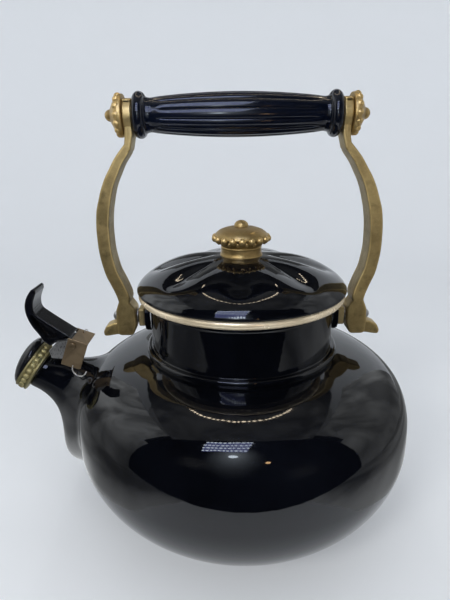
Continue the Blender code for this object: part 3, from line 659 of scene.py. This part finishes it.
def make_spout():
    """The spout with a soft weld where it leaves the body, open at the lip."""
    sides, spans, weld = 112, 40, 9
    angles = [2 * pi * k / sides for k in range(sides)]
    columns = []
    for angle in angles:
        share = seam_share(angle)
        seam = spout_point(share, angle)
        out = body_normal(seam)
        away = spout_normal(share, angle)
        away = (away - out * away.dot(out)).normalized()
        size = 0.0052 - 0.0014 * cos(angle) ** 2
        start_t = share
        while (spout_point(start_t, angle) - seam).length < size and start_t < 0.95:
            start_t += 0.004
        foot = onto_body(seam + away * size, 0.00012)
        top = spout_point(start_t, angle)
        column = []
        for i in range(weld):
            t = i / weld
            column.append(foot * (1 - t) ** 2 + seam * 2 * t * (1 - t) + top * t * t)
        for i in range(spans + 1):
            column.append(spout_point(start_t + (1.0 - start_t) * i / spans, angle))
        columns.append(column)
    rows = [[column[i] for column in columns] for i in range(len(columns[0]))]
    end = MOUTH - MOUTH_AXIS * LIP_END
    for back, radius in ((0.0007, 0.0), (0.0002, 0.0002), (0.0, 0.0007), (0.0002, 0.0012),
                         (0.0008, SPOUT_WALL)):
        rows.append([end - MOUTH_AXIS * back + MOUTH_UP * cos(a) * (MOUTH_R - radius)
                     + Y * sin(a) * (MOUTH_R - radius) for a in angles])
    for i in range(16):
        rows.append([spout_point(1.0 - 0.055 * i, a, SPOUT_WALL) for a in angles])
    verts, faces = skin(rows, closed=True)
    spout = add_mesh("spout_enamel", verts, faces, 60)
    fit(spout, "kettle", ENAMEL, "black_enamel", "spout_tube")


# --- lid
def lid_height(radius):
    """Height of the lid's dome at a radius, without its valleys."""
    share = (radius - LID_EYE_R) / (LID_R - LID_EYE_R)
    sag = LID_SOFT_SHARE * share ** LID_SOFT_POWER
    sag += (1.0 - LID_SOFT_SHARE) * (1.0 - sqrt(max(0.0, 1.0 - share ** LID_EDGE_POWER)))
    return LID_EDGE_Z + LID_RISE * (1.0 - sag)


def step_up(value, low, high):
    """A smooth step from 0 at low to 1 at high."""
    t = min(1.0, max(0.0, (value - low) / (high - low)))
    return t * t * (3 - 2 * t)


LOBE_DEPTH = 0.0026
LOBE_CREASE = 0.10
LOBE_PHASE = radians(-93.0)


def lid_valley(radius, angle):
    """Depth of the pressed valleys between the lid's lobes, nothing at a lobe's middle."""
    turn = 2 * pi / LID_LOBES
    off = 2.0 * ((angle - LOBE_PHASE + turn / 2) % turn) / turn - 1.0
    side = hypot(off, LOBE_CREASE) - LOBE_CREASE
    side /= hypot(1, LOBE_CREASE) - LOBE_CREASE
    reach = step_up(radius, 0.0100, 0.0400) * (1.0 - step_up(radius, 0.0450, 0.0595))
    return LOBE_DEPTH * (1.0 - side) ** 2 * reach


def make_lid():
    """Lobed shell, gold band, inner skirt, and the washer and screw of the knob."""
    crown = LID_EDGE_Z + LID_RISE
    radii = [LID_EYE_R + (LID_R - LID_EYE_R - 0.0004) * i / 70 for i in range(71)]
    outer = [(0.0, crown)] + [(r, lid_height(r)) for r in radii]
    outer += [(LID_R - 0.0001, LID_EDGE_Z + 0.0012), (LID_R, LID_EDGE_Z + 0.0004),
              (LID_R - 0.0003, LID_EDGE_Z - 0.0004), (LID_R - 0.0011, LID_EDGE_Z - 0.0007)]
    inner = [(r - 0.0010, lid_height(r) - LID_WALL) for r in radii[::-2]]
    inner += [(0.0, crown - LID_WALL)]

    def pressed(r, z, angle):
        return r, z - lid_valley(r, angle) * (1.0 if z > LID_EDGE_Z + 0.0002 else 0.0)

    verts, faces = skin(lathe_rows(outer + inner, 240, pressed))
    lid = add_mesh("lid_enamel", verts, faces, 60)
    fit(lid, "lid", ENAMEL, "black_enamel", "lid_shell")

    band = [(0.0500, 0.1482), (0.0500, 0.1474), (0.0600, 0.1474)]
    band += arc((0.0604, 0.1498), 0.0024, -80, 75, 16) + [(0.0590, 0.1521)]
    rim = lathe("lid_rim_gold", band, 200, closed=True, sharp=50)
    fit(rim, "lid", GOLD, "rim_gold", "lid_rim_band")

    skirt = [(0.0539, 0.1484), (0.0530, 0.1380, 0.0005), (0.0520, 0.1380, 0.0004),
             (0.0527, 0.1484)]
    collar = lathe("lid_skirt_enamel", rounded(skirt), 128, closed=True, sharp=50)
    fit(collar, "lid", ENAMEL, "black_enamel", "lid_inner_skirt")

    washer = rounded([(0.0023, crown - 0.0016), (0.0070, crown - 0.0016, 0.0003),
                      (0.0070, crown - 0.0024, 0.0003), (0.0023, crown - 0.0024)])
    fit(lathe("knob_washer", washer, 64, closed=True), "lid", STEEL, "bright_steel",
        "lid_knob_washer")
    head = crown - 0.0027
    screw = rounded([(0.0, crown + 0.0106), (0.0020, crown + 0.0104, 0.0004), (0.0020, head),
                     (0.0042, head, 0.0002), (0.0038, head - 0.0018, 0.0008),
                     (0.0, head - 0.0024)])
    fit(lathe("knob_screw", screw, 48), "lid", STEEL, "bright_steel", "lid_knob_screw")


def make_knob():
    top = KNOB_TOP_Z
    profile = [(0.0, top)]
    for i in range(1, 9):
        turn = pi / 2 * i / 8
        profile.append((0.0043 * sin(turn), top - 0.0034 * (1.0 - cos(turn))))
    profile += [(0.0045, top - 0.0037)]
    profile += smooth_line([(0.0050, 0.1890), (0.0086, 0.1885), (0.0124, 0.1872),
                            (0.0148, 0.1856), (0.0160, 0.1841)], 5)
    profile += arc((0.0154, 0.1832), 0.0009, 50, -60, 7)
    profile += [(0.0146, 0.1806), (0.0130, 0.1790), (0.0122, 0.1780), (0.0, 0.1780)]
    parts = [skin(lathe_rows(profile, 112))]
    parts += bead_ring(18, 0.0157, 0.1824, (0.0022, 0.0021, 0.0022), 0.5)
    parts += bead_ring(18, 0.0142, 0.1806, (0.0012, 0.0011, 0.0016), 0.0)
    fit(joined("knob_beaded", parts, sharp=50), "lid", KNOB_BRASS, "aged_brass", "lid_knob")

    foot = lid_height(0.0120) - 0.0007
    ferrule = [(0.0, 0.1778), (0.0119, 0.1778, 0.0004), (0.0123, 0.1771, 0.0006),
               (0.0121, 0.1763, 0.0004), (0.0121, 0.1748), (0.0122, 0.1737),
               (0.0127, 0.1727, 0.0006), (0.0128, foot), (0.0, foot)]
    fit(lathe("knob_ferrule_turned", rounded(ferrule), 96), "lid", KNOB_BRASS, "aged_brass",
        "knob_ferrule")


# --- handle
ARM_CENTRE = ((0.0605, 0.2347), (0.0626, 0.2320), (0.0667, 0.2267), (0.0700, 0.2210),
              (0.0729, 0.2157), (0.0752, 0.2100), (0.0770, 0.2040), (0.0784, 0.1986),
              (0.0795, 0.1900), (0.0797, 0.1810), (0.0795, 0.1750), (0.0786, 0.1685),
              (0.0772, 0.1620), (0.0748, 0.1560), (0.0724, 0.1495), (0.0712, 0.1445))
ARM_HALF_W = 0.0065
ARM_THIN = 0.0042           # the strap's thickness at its top
ARM_GAIN = 0.0034           # and how much thicker it is lower down
PAD_IN_X, PAD_OUT_X = 0.0653, 0.0776
EYE_IN_X, EYE_OUT_X = 0.0573, 0.0620


def arm_sides():
    """Outer and inner edge of the right arm's bowed strap."""
    outer, inner = [], []
    line = smooth_line(ARM_CENTRE, 4)
    last = len(line) - 1
    for i, (x, z) in enumerate(line):
        before, after = line[max(0, i - 1)], line[min(last, i + 1)]
        run = Vector((after[0] - before[0], after[1] - before[1])).normalized()
        half = (ARM_THIN + ARM_GAIN * min(1.0, i / 28)) / 2
        outer.append((x - run.y * half, z + run.x * half))
        inner.append((x + run.y * half, z - run.x * half))
    return outer, inner


def arm_outline():
    """Right arm in the XZ plane: eye plate, bowed strap and foot pad."""
    outer, inner = arm_sides()
    head = rounded([(EYE_IN_X, 0.2500), (EYE_IN_X, 0.2585, 0.0006),
                    (EYE_OUT_X, 0.2585, 0.0006), (EYE_OUT_X, 0.2500), (EYE_OUT_X, 0.2388)])
    foot = rounded([(0.0752, 0.1438), (0.0773, 0.1385, 0.006), (PAD_OUT_X, 0.1300),
                    (0.0773, 0.1222, 0.0030), (0.0676, 0.1222, 0.0030),
                    (PAD_IN_X, 0.1290, 0.004), (PAD_IN_X, 0.1390, 0.006), (0.0684, 0.1438)],
                   count=9)
    tail = [(EYE_IN_X, 0.2402)]
    return thinned(head + outer[1:-1] + foot + inner[1:-1][::-1] + tail, 0.00035)


def leaning(x, z):
    """The bail leans a little towards the spout above its rivets."""
    share = max(0.0, min(1.0, (z - PIVOT_Z) / (EYE_FOOT_Z - PIVOT_Z)))
    return (x + BAIL_LEAN * share, z)


def make_arm(side, label):
    """A bail arm with its eye, toe and edge beads, and the finial nut beside it."""
    outline = [leaning(side * x, z) for x, z in arm_outline()]
    parts = [slab_parts(outline, -ARM_HALF_W, ARM_HALF_W, 0.0011)]
    at = placed(Vector((BAIL_LEAN + side * EYE_IN_X, 0.0, GRIP_Z)), X * side, Y)
    depth = EYE_OUT_X - EYE_IN_X
    eye = rounded([(0.0, 0.0), (0.0088, 0.0, 0.0007), (0.0088, depth, 0.0009), (0.0, depth)])
    verts, faces = skin(lathe_rows(eye, 72))
    parts.append(([at @ v for v in verts], faces))
    toe = rounded([(0.0700, 0.1303), (0.0800, 0.1299, 0.003), (0.0850, 0.1277, 0.004),
                   (0.0868, 0.1238, 0.0020), (0.0864, 0.1212, 0.0013), (0.0840, 0.1212),
                   (0.0780, 0.1222, 0.003), (0.0700, 0.1224)], closed=True, count=7)
    toe = thinned([(side * x, z) for x, z in toe], 0.0003)
    parts.append(slab_parts(toe, -0.0046, 0.0046, 0.0010))
    for face_y in (-ARM_HALF_W, ARM_HALF_W):
        bead = [leaning(side * (x + 0.0005), z) for x, z in arm_sides()[1][3:-2]]
        parts.append(tube_parts([(x, face_y, z) for x, z in bead], 0.00045, 8))
    arm = joined("arm_" + label, parts, sharp=38)
    keep_flat(arm)
    fit(arm, "handle", (BRASS, CAST), "aged_brass", "handle_arm_" + label)
    for face in arm.data.polygons:
        if -side * face.normal.x > 0.55 and 0.1440 < face.center.z < 0.2400:
            face.material_index = 1

    tip = [(0.0, 0.0107)] + arc((0.0, 0.0075), 0.0032, 82, 12, 7)
    tip += [(0.0034, 0.0074), (0.0046, 0.0069), (0.0074, 0.0054), (0.0094, 0.0040)]
    tip += rounded([(0.0104, 0.0033), (0.0113, 0.0018, 0.0006), (0.0110, 0.0, 0.0005),
                    (0.0, 0.0)])
    parts = [skin(lathe_rows(tip, 84))]
    parts += bead_ring(14, 0.0097, 0.0025, (0.0021, 0.0021, 0.0021))
    at = placed(Vector((BAIL_LEAN + side * (EYE_OUT_X + 0.0003), 0.0, GRIP_Z)), X * side, Z)
    nut = joined("finial_" + label + "_beaded", parts, at, sharp=50)
    fit(nut, "handle", KNOB_BRASS, "aged_brass", "finial_" + label)


GRIP_HALF_L = 0.0569
GRIP_R = 0.0090
GRIP_BULGE = 0.0028
GRIP_RIBS = 12
GRIP_FLUTE = 0.00085


def make_grip():
    """Barrel with lengthwise ribs between two turned ends."""
    end = [(0.0, GRIP_HALF_L), (0.0080, GRIP_HALF_L)]
    end += arc((GRIP_R, GRIP_HALF_L - 0.0033), 0.0033, 85, -70, 18)
    end += rounded([(0.0097, GRIP_HALF_L - 0.0066), (0.0092, GRIP_HALF_L - 0.0076, 0.0016),
                    (0.0089, GRIP_HALF_L - 0.0092, 0.0020), (GRIP_R, GRIP_HALF_L - 0.0102)],
                   count=6)
    spans = 44
    start = GRIP_HALF_L - 0.0104
    barrel = [(GRIP_R + GRIP_BULGE * sin(pi * i / spans) ** 0.78,
               start * (1.0 - 2.0 * i / spans)) for i in range(spans + 1)]
    profile = end + barrel + [(r, -z) for r, z in end[::-1]]

    def ribbed(r, z, angle):
        depth = GRIP_FLUTE * (1.0 - step_up(abs(z), 0.0385, 0.0462))
        turn = 2 * pi / GRIP_RIBS
        off = 2.0 * ((angle + turn / 2) % turn) / turn - 1.0
        return r - depth * (1.0 - sqrt(max(0.0, 1.0 - off * off))), z

    at = placed(Vector((BAIL_LEAN, 0.0, GRIP_Z)), X, Z)
    grip = lathe("grip_ribbed", profile, 192, at=at, shape=ribbed, sharp=50)
    fit(grip, "handle", GRIP_PHENOLIC, "black_phenolic", "handle_grip")


def make_mounts(side, label):
    """Ear, lug, washer and rivet on one side of the neck."""
    ear = cad_copy("ear_" + label + "_plate", "ear_" + label, 0.0009, 3)
    fit(ear, "kettle", ENAMEL, "black_enamel", "ear_" + label)
    lug = cad_copy("lug_" + label + "_block", "lug_" + label, 0.0003)
    fit(lug, "kettle", CAST, "aged_brass", "lug_" + label)
    at = placed(Vector((0.0, 0.0, PIVOT_Z)), X * side, Z)
    washer = rounded([(0.0023, 0.0643), (0.0046, 0.0643, 0.0002), (0.0046, 0.0650, 0.0002),
                      (0.0023, 0.0650)])
    fit(lathe("washer_" + label, washer, 48, closed=True, at=at), "kettle", STEEL,
        "bright_steel", "pivot_washer_" + label)
    rivet = [(0.0, 0.0806)] + arc((0.0, 0.0772), 0.0034, 80, 14, 8)
    rivet += [(0.0035, 0.0779), (0.0020, 0.0779), (0.0020, 0.0603), (0.0, 0.0603)]
    fit(lathe("rivet_" + label, rivet, 56, at=at), "kettle", STEEL, "bright_steel",
        "pivot_rivet_" + label)


# --- whistle cap
DOME_R = 0.0158
DOME_RISE = 0.0064
DOME_WALL = 0.0012


def make_cap():
    """Beaded ring, leaning dome and the two plates of the whistle."""
    half = 0.0038
    ring = rounded([(0.0106, half), (0.0150, half, 0.0005), (0.0160, half - 0.0004, 0.0006),
                    (0.0160, half - 0.0014, 0.0005), (0.0154, half - 0.0020, 0.0005),
                    (0.0154, -half + 0.0020, 0.0005), (0.0160, -half + 0.0014, 0.0005),
                    (0.0160, -half + 0.0004, 0.0006), (0.0152, -half, 0.0005),
                    (0.0106, -half, 0.0004)], closed=True, count=4)
    parts = [skin(lathe_rows(ring, 96), closed=True)]
    parts += bead_ring(24, 0.0151, 0.0, (0.00145, 0.0019, 0.0020))
    at = placed(MOUTH, MOUTH_AXIS, MOUTH_UP)
    band = joined("cap_ring_beaded", parts, at, sharp=50)
    fit(band, "whistle_cap", RING_BRASS, "aged_brass", "whistle_beaded_ring")

    rows = []
    angles = [2 * pi * k / 80 for k in range(80)]
    for wall, order in ((0.0, 1), (DOME_WALL, -1)):
        shell = []
        for i in range(17):
            turn = radians(82.0) * i / 16
            radius = (DOME_R - wall) * cos(turn)
            height = 0.0041 + (DOME_RISE - wall) * sin(turn)
            lean = 0.0010 + 0.0048 * sin(turn)
            shell.append([MOUTH + MOUTH_AXIS * height + MOUTH_UP * (lean + radius * cos(a))
                          + Y * radius * sin(a) for a in angles])
        rows += shell[::order]
    verts, faces = skin(rows, closed=True)
    dome = add_mesh("cap_dome_moulded", verts, faces, 50)
    fit(dome, "whistle_cap", PHENOLIC, "black_phenolic", "whistle_cap_dome")
    for node in ("whistle_plate_inner", "whistle_plate_outer"):
        plate = cad_copy(node + "_disc", node, 0.0002)
        fit(plate, "whistle_cap", STEEL, "bright_steel", node)


def make_lever():
    """Curled thumb lever with a pocket and a curved rib on each side."""
    spine = smooth_line([(-0.1240, 0.1186), (-0.1268, 0.1238), (-0.1298, 0.1285),
                         (-0.1320, 0.1338), (-0.1330, 0.1390), (-0.1326, 0.1438),
                         (-0.1308, 0.1484), (-0.1278, 0.1526)], 6)
    tip = rounded([(-0.1272, 0.1530), (-0.1260, 0.1535, 0.0005), (-0.1249, 0.1526, 0.0006),
                   (-0.1250, 0.1506)])
    curl = smooth_line([(-0.1252, 0.1500), (-0.1262, 0.1478), (-0.1275, 0.1444),
                        (-0.1279, 0.1405), (-0.1268, 0.1373), (-0.1240, 0.1348),
                        (-0.1180, 0.1301)], 5)
    deck = [(-0.1130, 0.1265), (-0.1082, 0.1229), (-0.1071, 0.1224)]
    under = arc((HINGE.x, HINGE.z), 0.0051, 103, 150, 6)
    under += [(-0.1150, 0.1192), (-0.1205, 0.1158)]
    outline = thinned(spine + tip + curl + deck + under, 0.0004)
    lever = joined("lever_moulded", [slab_parts(outline, -0.0075, 0.0075, 0.0009)])
    pocket = smooth_line([(-0.1230, 0.1212), (-0.1264, 0.1262), (-0.1291, 0.1312),
                          (-0.1304, 0.1356), (-0.1288, 0.1368), (-0.1262, 0.1336),
                          (-0.1210, 0.1293), (-0.1150, 0.1247), (-0.1158, 0.1222),
                          (-0.1190, 0.1208), (-0.1230, 0.1212)], 4)[:-1]
    for side in (-1, 1):
        near, far = sorted((side * 0.0018, side * 0.0095))
        carve(lever, joined("pocket", [slab_parts(pocket, near, far, 0.0006)]))
    rib = smooth_line([(-0.1287, 0.1352), (-0.1272, 0.1325), (-0.1236, 0.1277),
                       (-0.1182, 0.1228)], 6)
    for y in (-0.0020, 0.0020):
        wire = tube_parts([(x, y, z) for x, z in rib], 0.0007)
        carve(lever, joined("rib", [wire]), "UNION")
    lever.data.set_sharp_from_angle(angle=radians(40))
    keep_flat(lever)
    fit(lever, "whistle_cap", PHENOLIC, "black_phenolic", "cap_lever")


def make_hinge():
    """Bracket with the hole for the spring's leg, cheeks, pin, spring and wire clip."""
    bracket = cad_copy("bracket_folded", "hinge_bracket", 0.00035, 3)
    along = Vector((cos(BRACKET_TILT), 0.0, sin(BRACKET_TILT)))
    upward = Vector((-along.z, 0.0, along.x))
    hole = HINGE + along * 0.0020 + upward * 0.0043 + Y * 0.0056
    drill = [(0.0, -0.0016), (0.0010, -0.0016), (0.0010, 0.0016), (0.0, 0.0016)]
    keep_flat(carve(bracket, lathe("drill", drill, 20, at=placed(hole, upward, Y))))
    fit(bracket, "kettle", BRACKET_BRASS, "aged_brass", "hinge_bracket")
    cheeks = cad_copy("cheeks_pressed", "cap_arm", 0.0002, 2)
    fit(cheeks, "whistle_cap", CHEEK_STEEL, "bright_steel", "cap_arm")

    half = 0.0093
    pin = rounded([(0.0, half + 0.0005), (0.0008, half + 0.0008, 0.0003),
                   (0.0018, half + 0.0008, 0.0004), (0.0022, half, 0.0002), (0.0014, half),
                   (0.0014, -half), (0.0022, -half, 0.0002), (0.0018, -half - 0.0008, 0.0004),
                   (0.0, -half - 0.0009)])
    at = placed(HINGE, -Y, Z)
    fit(lathe("pin_headed", pin, 40, at=at), "kettle", BRACKET_BRASS, "aged_brass",
        "hinge_pin")

    coil_r, coil_half, steps = 0.0024, 0.0025, 72
    coil = []
    for i in range(steps + 1):
        angle = 3 * 2 * pi * i / steps
        coil.append(HINGE + Vector((coil_r * cos(angle), coil_half * (2 * i / steps - 1),
                                    coil_r * sin(angle))))
    leg = [(coil_r, coil_half, 0.0)]
    for dx, y, dz in ((0.0002, 0.0053, -0.0014), (0.0004, 0.0057, 0.0010),
                      (0.0014, 0.0064, 0.0013), (0.0022, 0.0071, 0.0003)):
        leg.append((hole.x - HINGE.x + dx, y, hole.z - HINGE.z + dz))
    leg = [HINGE + Vector(p) for p in smooth_line(leg, 6)]
    spring = [tube_parts(coil, 0.00035, 10), tube_parts(leg, 0.00030, 8)]
    fit(joined("spring_coiled", spring), "kettle", STEEL, "bright_steel", "hinge_spring")
    clip = smooth_line([(-0.1068, -0.0100, 0.1036), (-0.1060, -0.0132, 0.1014),
                        (-0.1025, -0.0154, 0.0992), (-0.0990, -0.0154, 0.0992),
                        (-0.0972, -0.0140, 0.1014)], 10)
    fit(joined("clip_wire", [tube_parts(clip, 0.00042)]), "kettle", STEEL, "bright_steel",
        "bracket_clip")


# --- stage
TALLER = 0.45               # folds and glows are stretched upwards by one over this
OPENING_Y = -0.225          # the dark opening stands here, across the front


def plain_material(name, colour, roughness, glow=0.0):
    return Nodes(name).surface(Base_Color=colour, Roughness=roughness, Emission_Color=colour,
                               Emission_Strength=glow)


def glowing(m, colour, strength):
    """A black matt surface with a glow."""
    return m.surface(Base_Color=(0.0, 0.0, 0.0), Specular_IOR_Level=0.0, Emission_Color=colour,
                     Emission_Strength=strength)


def cloth_material(name, axis, span, levels):
    """Glowing cloth with broad soft folds; the glow changes along one axis."""
    m = Nodes(name)
    level = m.span(m.node("SeparateXYZ", Vector=m.place).outputs[axis], *span, *levels)
    folds = m.span(m.noise(5.0, 2.0, 0.5, (1.0, 1.0, TALLER), 0.8), 0.35, 0.65, 0.55, 1.45)
    return glowing(m, (0.95, 0.98, 1.0), m.product(level, folds))


def halo_material(name, centre, reach, strength):
    """A dark card with a soft glow about a point."""
    m = Nodes(name)
    away = m.node("VectorMath")
    away.operation = "DISTANCE"
    m.feed(m.stretched((1.0, 1.0, TALLER)), away.inputs[0])
    m.feed((centre[0], centre[1], centre[2] * TALLER), away.inputs[1])
    level = m.span(away.outputs["Value"], 0.0, reach, sqrt(strength), 0.0)
    return glowing(m, (0.80, 0.90, 1.0), m.product(level, level))


def only_reflected(obj, material):
    """Make an object of the stage that is seen only in glossy surfaces."""
    obj.data.materials.append(material)
    for ray in ("camera", "diffuse", "shadow", "transmission", "volume_scatter"):
        setattr(obj, "visible_" + ray, False)


def card(name, corners, material):
    """A flat card from its corners, for reflections."""
    only_reflected(add_mesh(name, corners, [tuple(range(len(corners)))]), material)


def upright(left, right, low, high):
    """Corners of an upright card above two points of the floor."""
    return [(*left, low), (*right, low), (*right, high), (*left, high)]


def level_card(near_x, far_x, back_y, z):
    """Corners of a level card that starts at the opening."""
    return [(near_x, OPENING_Y, z), (far_x, OPENING_Y, z), (far_x, back_y, z), (near_x, back_y, z)]


def area_light(name, location, target, size, power, colour):
    data = bpy.data.lights.new(name, "AREA")
    data.shape = "RECTANGLE"
    data.size = data.size_y = size
    data.energy = power
    data.color = colour
    obj = new_object(name, data)
    obj.location = location
    obj.rotation_euler = (Vector(target) - Vector(location)).to_track_quat("-Z", "Y").to_euler()


def make_stage():
    """A round pale sweep, soft lights, and cards for the room that the enamel reflects."""
    pale = plain_material("pale_sweep", (0.765, 0.785, 0.812), 0.9, 0.12)
    profile = [(0.0, 0.0), (0.3, 0.0), (0.70, 0.0)]
    profile += arc((0.70, 0.35), 0.35, -90, 0, 24)
    profile += [(1.05, 0.7), (1.05, 1.4)]
    sweep = lathe("pale_sweep", profile, 128)
    sweep.data.materials.append(pale)

    dark = plain_material("dark_card", (0.0, 0.0, 0.0), 1.0)
    haze = halo_material("haze", (-0.026, OPENING_Y, 0.30), 0.085, 2.6)
    card("front_opening", upright((-0.50, OPENING_Y), (0.50, OPENING_Y), 0.0, 0.84), haze)
    for side, top_glow in ((-1, 0.86), (1, 0.60)):
        card("front_flap", upright((side * 0.50, OPENING_Y), (side * 0.505, -0.180), 0.44, 0.84),
             dark)
        hanging = cloth_material("hanging_cloth", "Z", (0.16, 0.34), (0.28, top_glow))
        card("side_wall", upright((side * 0.507, -0.235), (side * 0.60, 0.60), 0.0, 0.80),
             hanging)
        span = (side * 0.12, side * 0.22 + 0.03)
        lying = cloth_material("lying_cloth", "X", span, (0.68, 0.22))
        card("side_floor", level_card(side * 0.12, side * 0.60, 0.60, 0.0015), lying)
    raised = cloth_material("raised_cloth", "Y", (0.20, 0.42), (0.21, 0.03))
    card("top_cloth", level_card(-0.44, 0.44, 0.62, 0.72), raised)
    folds = cloth_material("back_folds", "Z", (0.26, 0.50), (0.32, 0.16))
    card("back_cloth", upright((-0.70, 0.98), (0.70, 0.98), 0.26, 0.74), folds)

    world = bpy.data.worlds.new("soft_sky")
    world.use_nodes = True
    sky = world.node_tree.nodes["Background"]
    sky.inputs["Color"].default_value = (0.64, 0.66, 0.68, 1.0)
    sky.inputs["Strength"].default_value = 0.55
    bpy.context.scene.world = world

    warm_white = (1.0, 0.99, 0.97)
    area_light("top_softbox", (0.0, 0.05, 1.25), (0.0, 0.0, 0.0), 1.3, 2.4, (0.97, 0.985, 1.0))
    area_light("front_key", (-0.45, -0.70, 0.62), (0.0, 0.0, 0.12), 0.22, 2.9, warm_white)
    area_light("front_fill", (0.42, -0.65, 0.34), (0.0, 0.0, 0.14), 0.20, 1.4, warm_white)


def make_lamps():
    """Lamps over the kettle and a lamp panel before it, seen only as highlights."""
    warm = plain_material("warm_lamps", (1.0, 0.84, 0.62), 0.5, 16.0)
    ring_r, lamps = 0.213, 40
    parts = []
    for k in range(lamps):
        angle = radians(-206.0 + 232.0 * k / (lamps - 1))
        centre = Vector((0.005 + ring_r * cos(angle), 0.250 + ring_r * sin(angle), 0.70))
        parts.append(ball_parts(centre, (0.0072,) * 3, 8, 5))
    only_reflected(joined("ring_lamps", parts), warm)

    cool = plain_material("cool_lamps", (0.80, 0.90, 1.0), 0.5, 13.0)
    parts = []
    for z, half, wide in ((0.538, 0.0150, 1.0), (0.438, 0.0100, 0.86), (0.373, 0.0070, 0.74),
                          (0.325, 0.0052, 0.63)):
        for column in range(11):
            centre = Vector((-0.053 + 0.0181 * (column - 5) * wide, -0.205, z))
            parts.append(ball_parts(centre, (0.0066 * wide, 0.0020, half), 8, 6))
    only_reflected(joined("panel_lamps", parts), cool)
    blue = plain_material("panel_glow", (0.38, 0.44, 1.0), 0.5, 1.8)
    panel = [(-0.114, -0.209, 0.316), (0.008, -0.209, 0.316), (0.045, -0.209, 0.565),
             (-0.151, -0.209, 0.565)]
    card("panel_back", panel, blue)
    parts = [ball_parts(Vector((-0.026, -0.215, 0.268)), (0.0115, 0.0020, 0.0150), 16, 8)]
    only_reflected(joined("round_lamp", parts), cool)
    amber = plain_material("amber_lamp", (1.0, 0.62, 0.30), 0.5, 12.0)
    parts = [ball_parts(Vector((0.046, -0.215, 0.214)), (0.0050, 0.0020, 0.0070), 16, 8)]
    only_reflected(joined("small_lamp", parts), amber)


CAMERA_AT = (-0.0101, -0.2689, 0.2333)
CAMERA_DOWN = 18.57         # degrees below level
CAMERA_ROLL = -0.56
CAMERA_LENS = 27.19         # millimetres on a 36 mm sensor


def make_camera():
    data = bpy.data.cameras.new("camera")
    data.sensor_width = 36.0
    data.lens = CAMERA_LENS
    data.clip_start = 0.005
    camera = new_object("camera", data)
    tilt = Matrix.Rotation(radians(90.0 - CAMERA_DOWN), 4, "X")
    roll = Matrix.Rotation(radians(CAMERA_ROLL), 4, "Z")
    camera.matrix_world = Matrix.Translation(CAMERA_AT) @ tilt @ roll
    bpy.context.scene.camera = camera
    bpy.context.scene.view_settings.view_transform = "Standard"


# --- build
make_body()
make_spout()
make_lid()
make_knob()
for SIDE, LABEL in ((-1, "left"), (1, "right")):
    make_arm(SIDE, LABEL)
    make_mounts(SIDE, LABEL)
make_grip()
make_cap()
make_lever()
make_hinge()
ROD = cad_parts["handle_tie_rod"]
ROD.data.materials.clear()
ROD.data.materials.append(STEEL)
make_stage()
make_lamps()
make_camera()
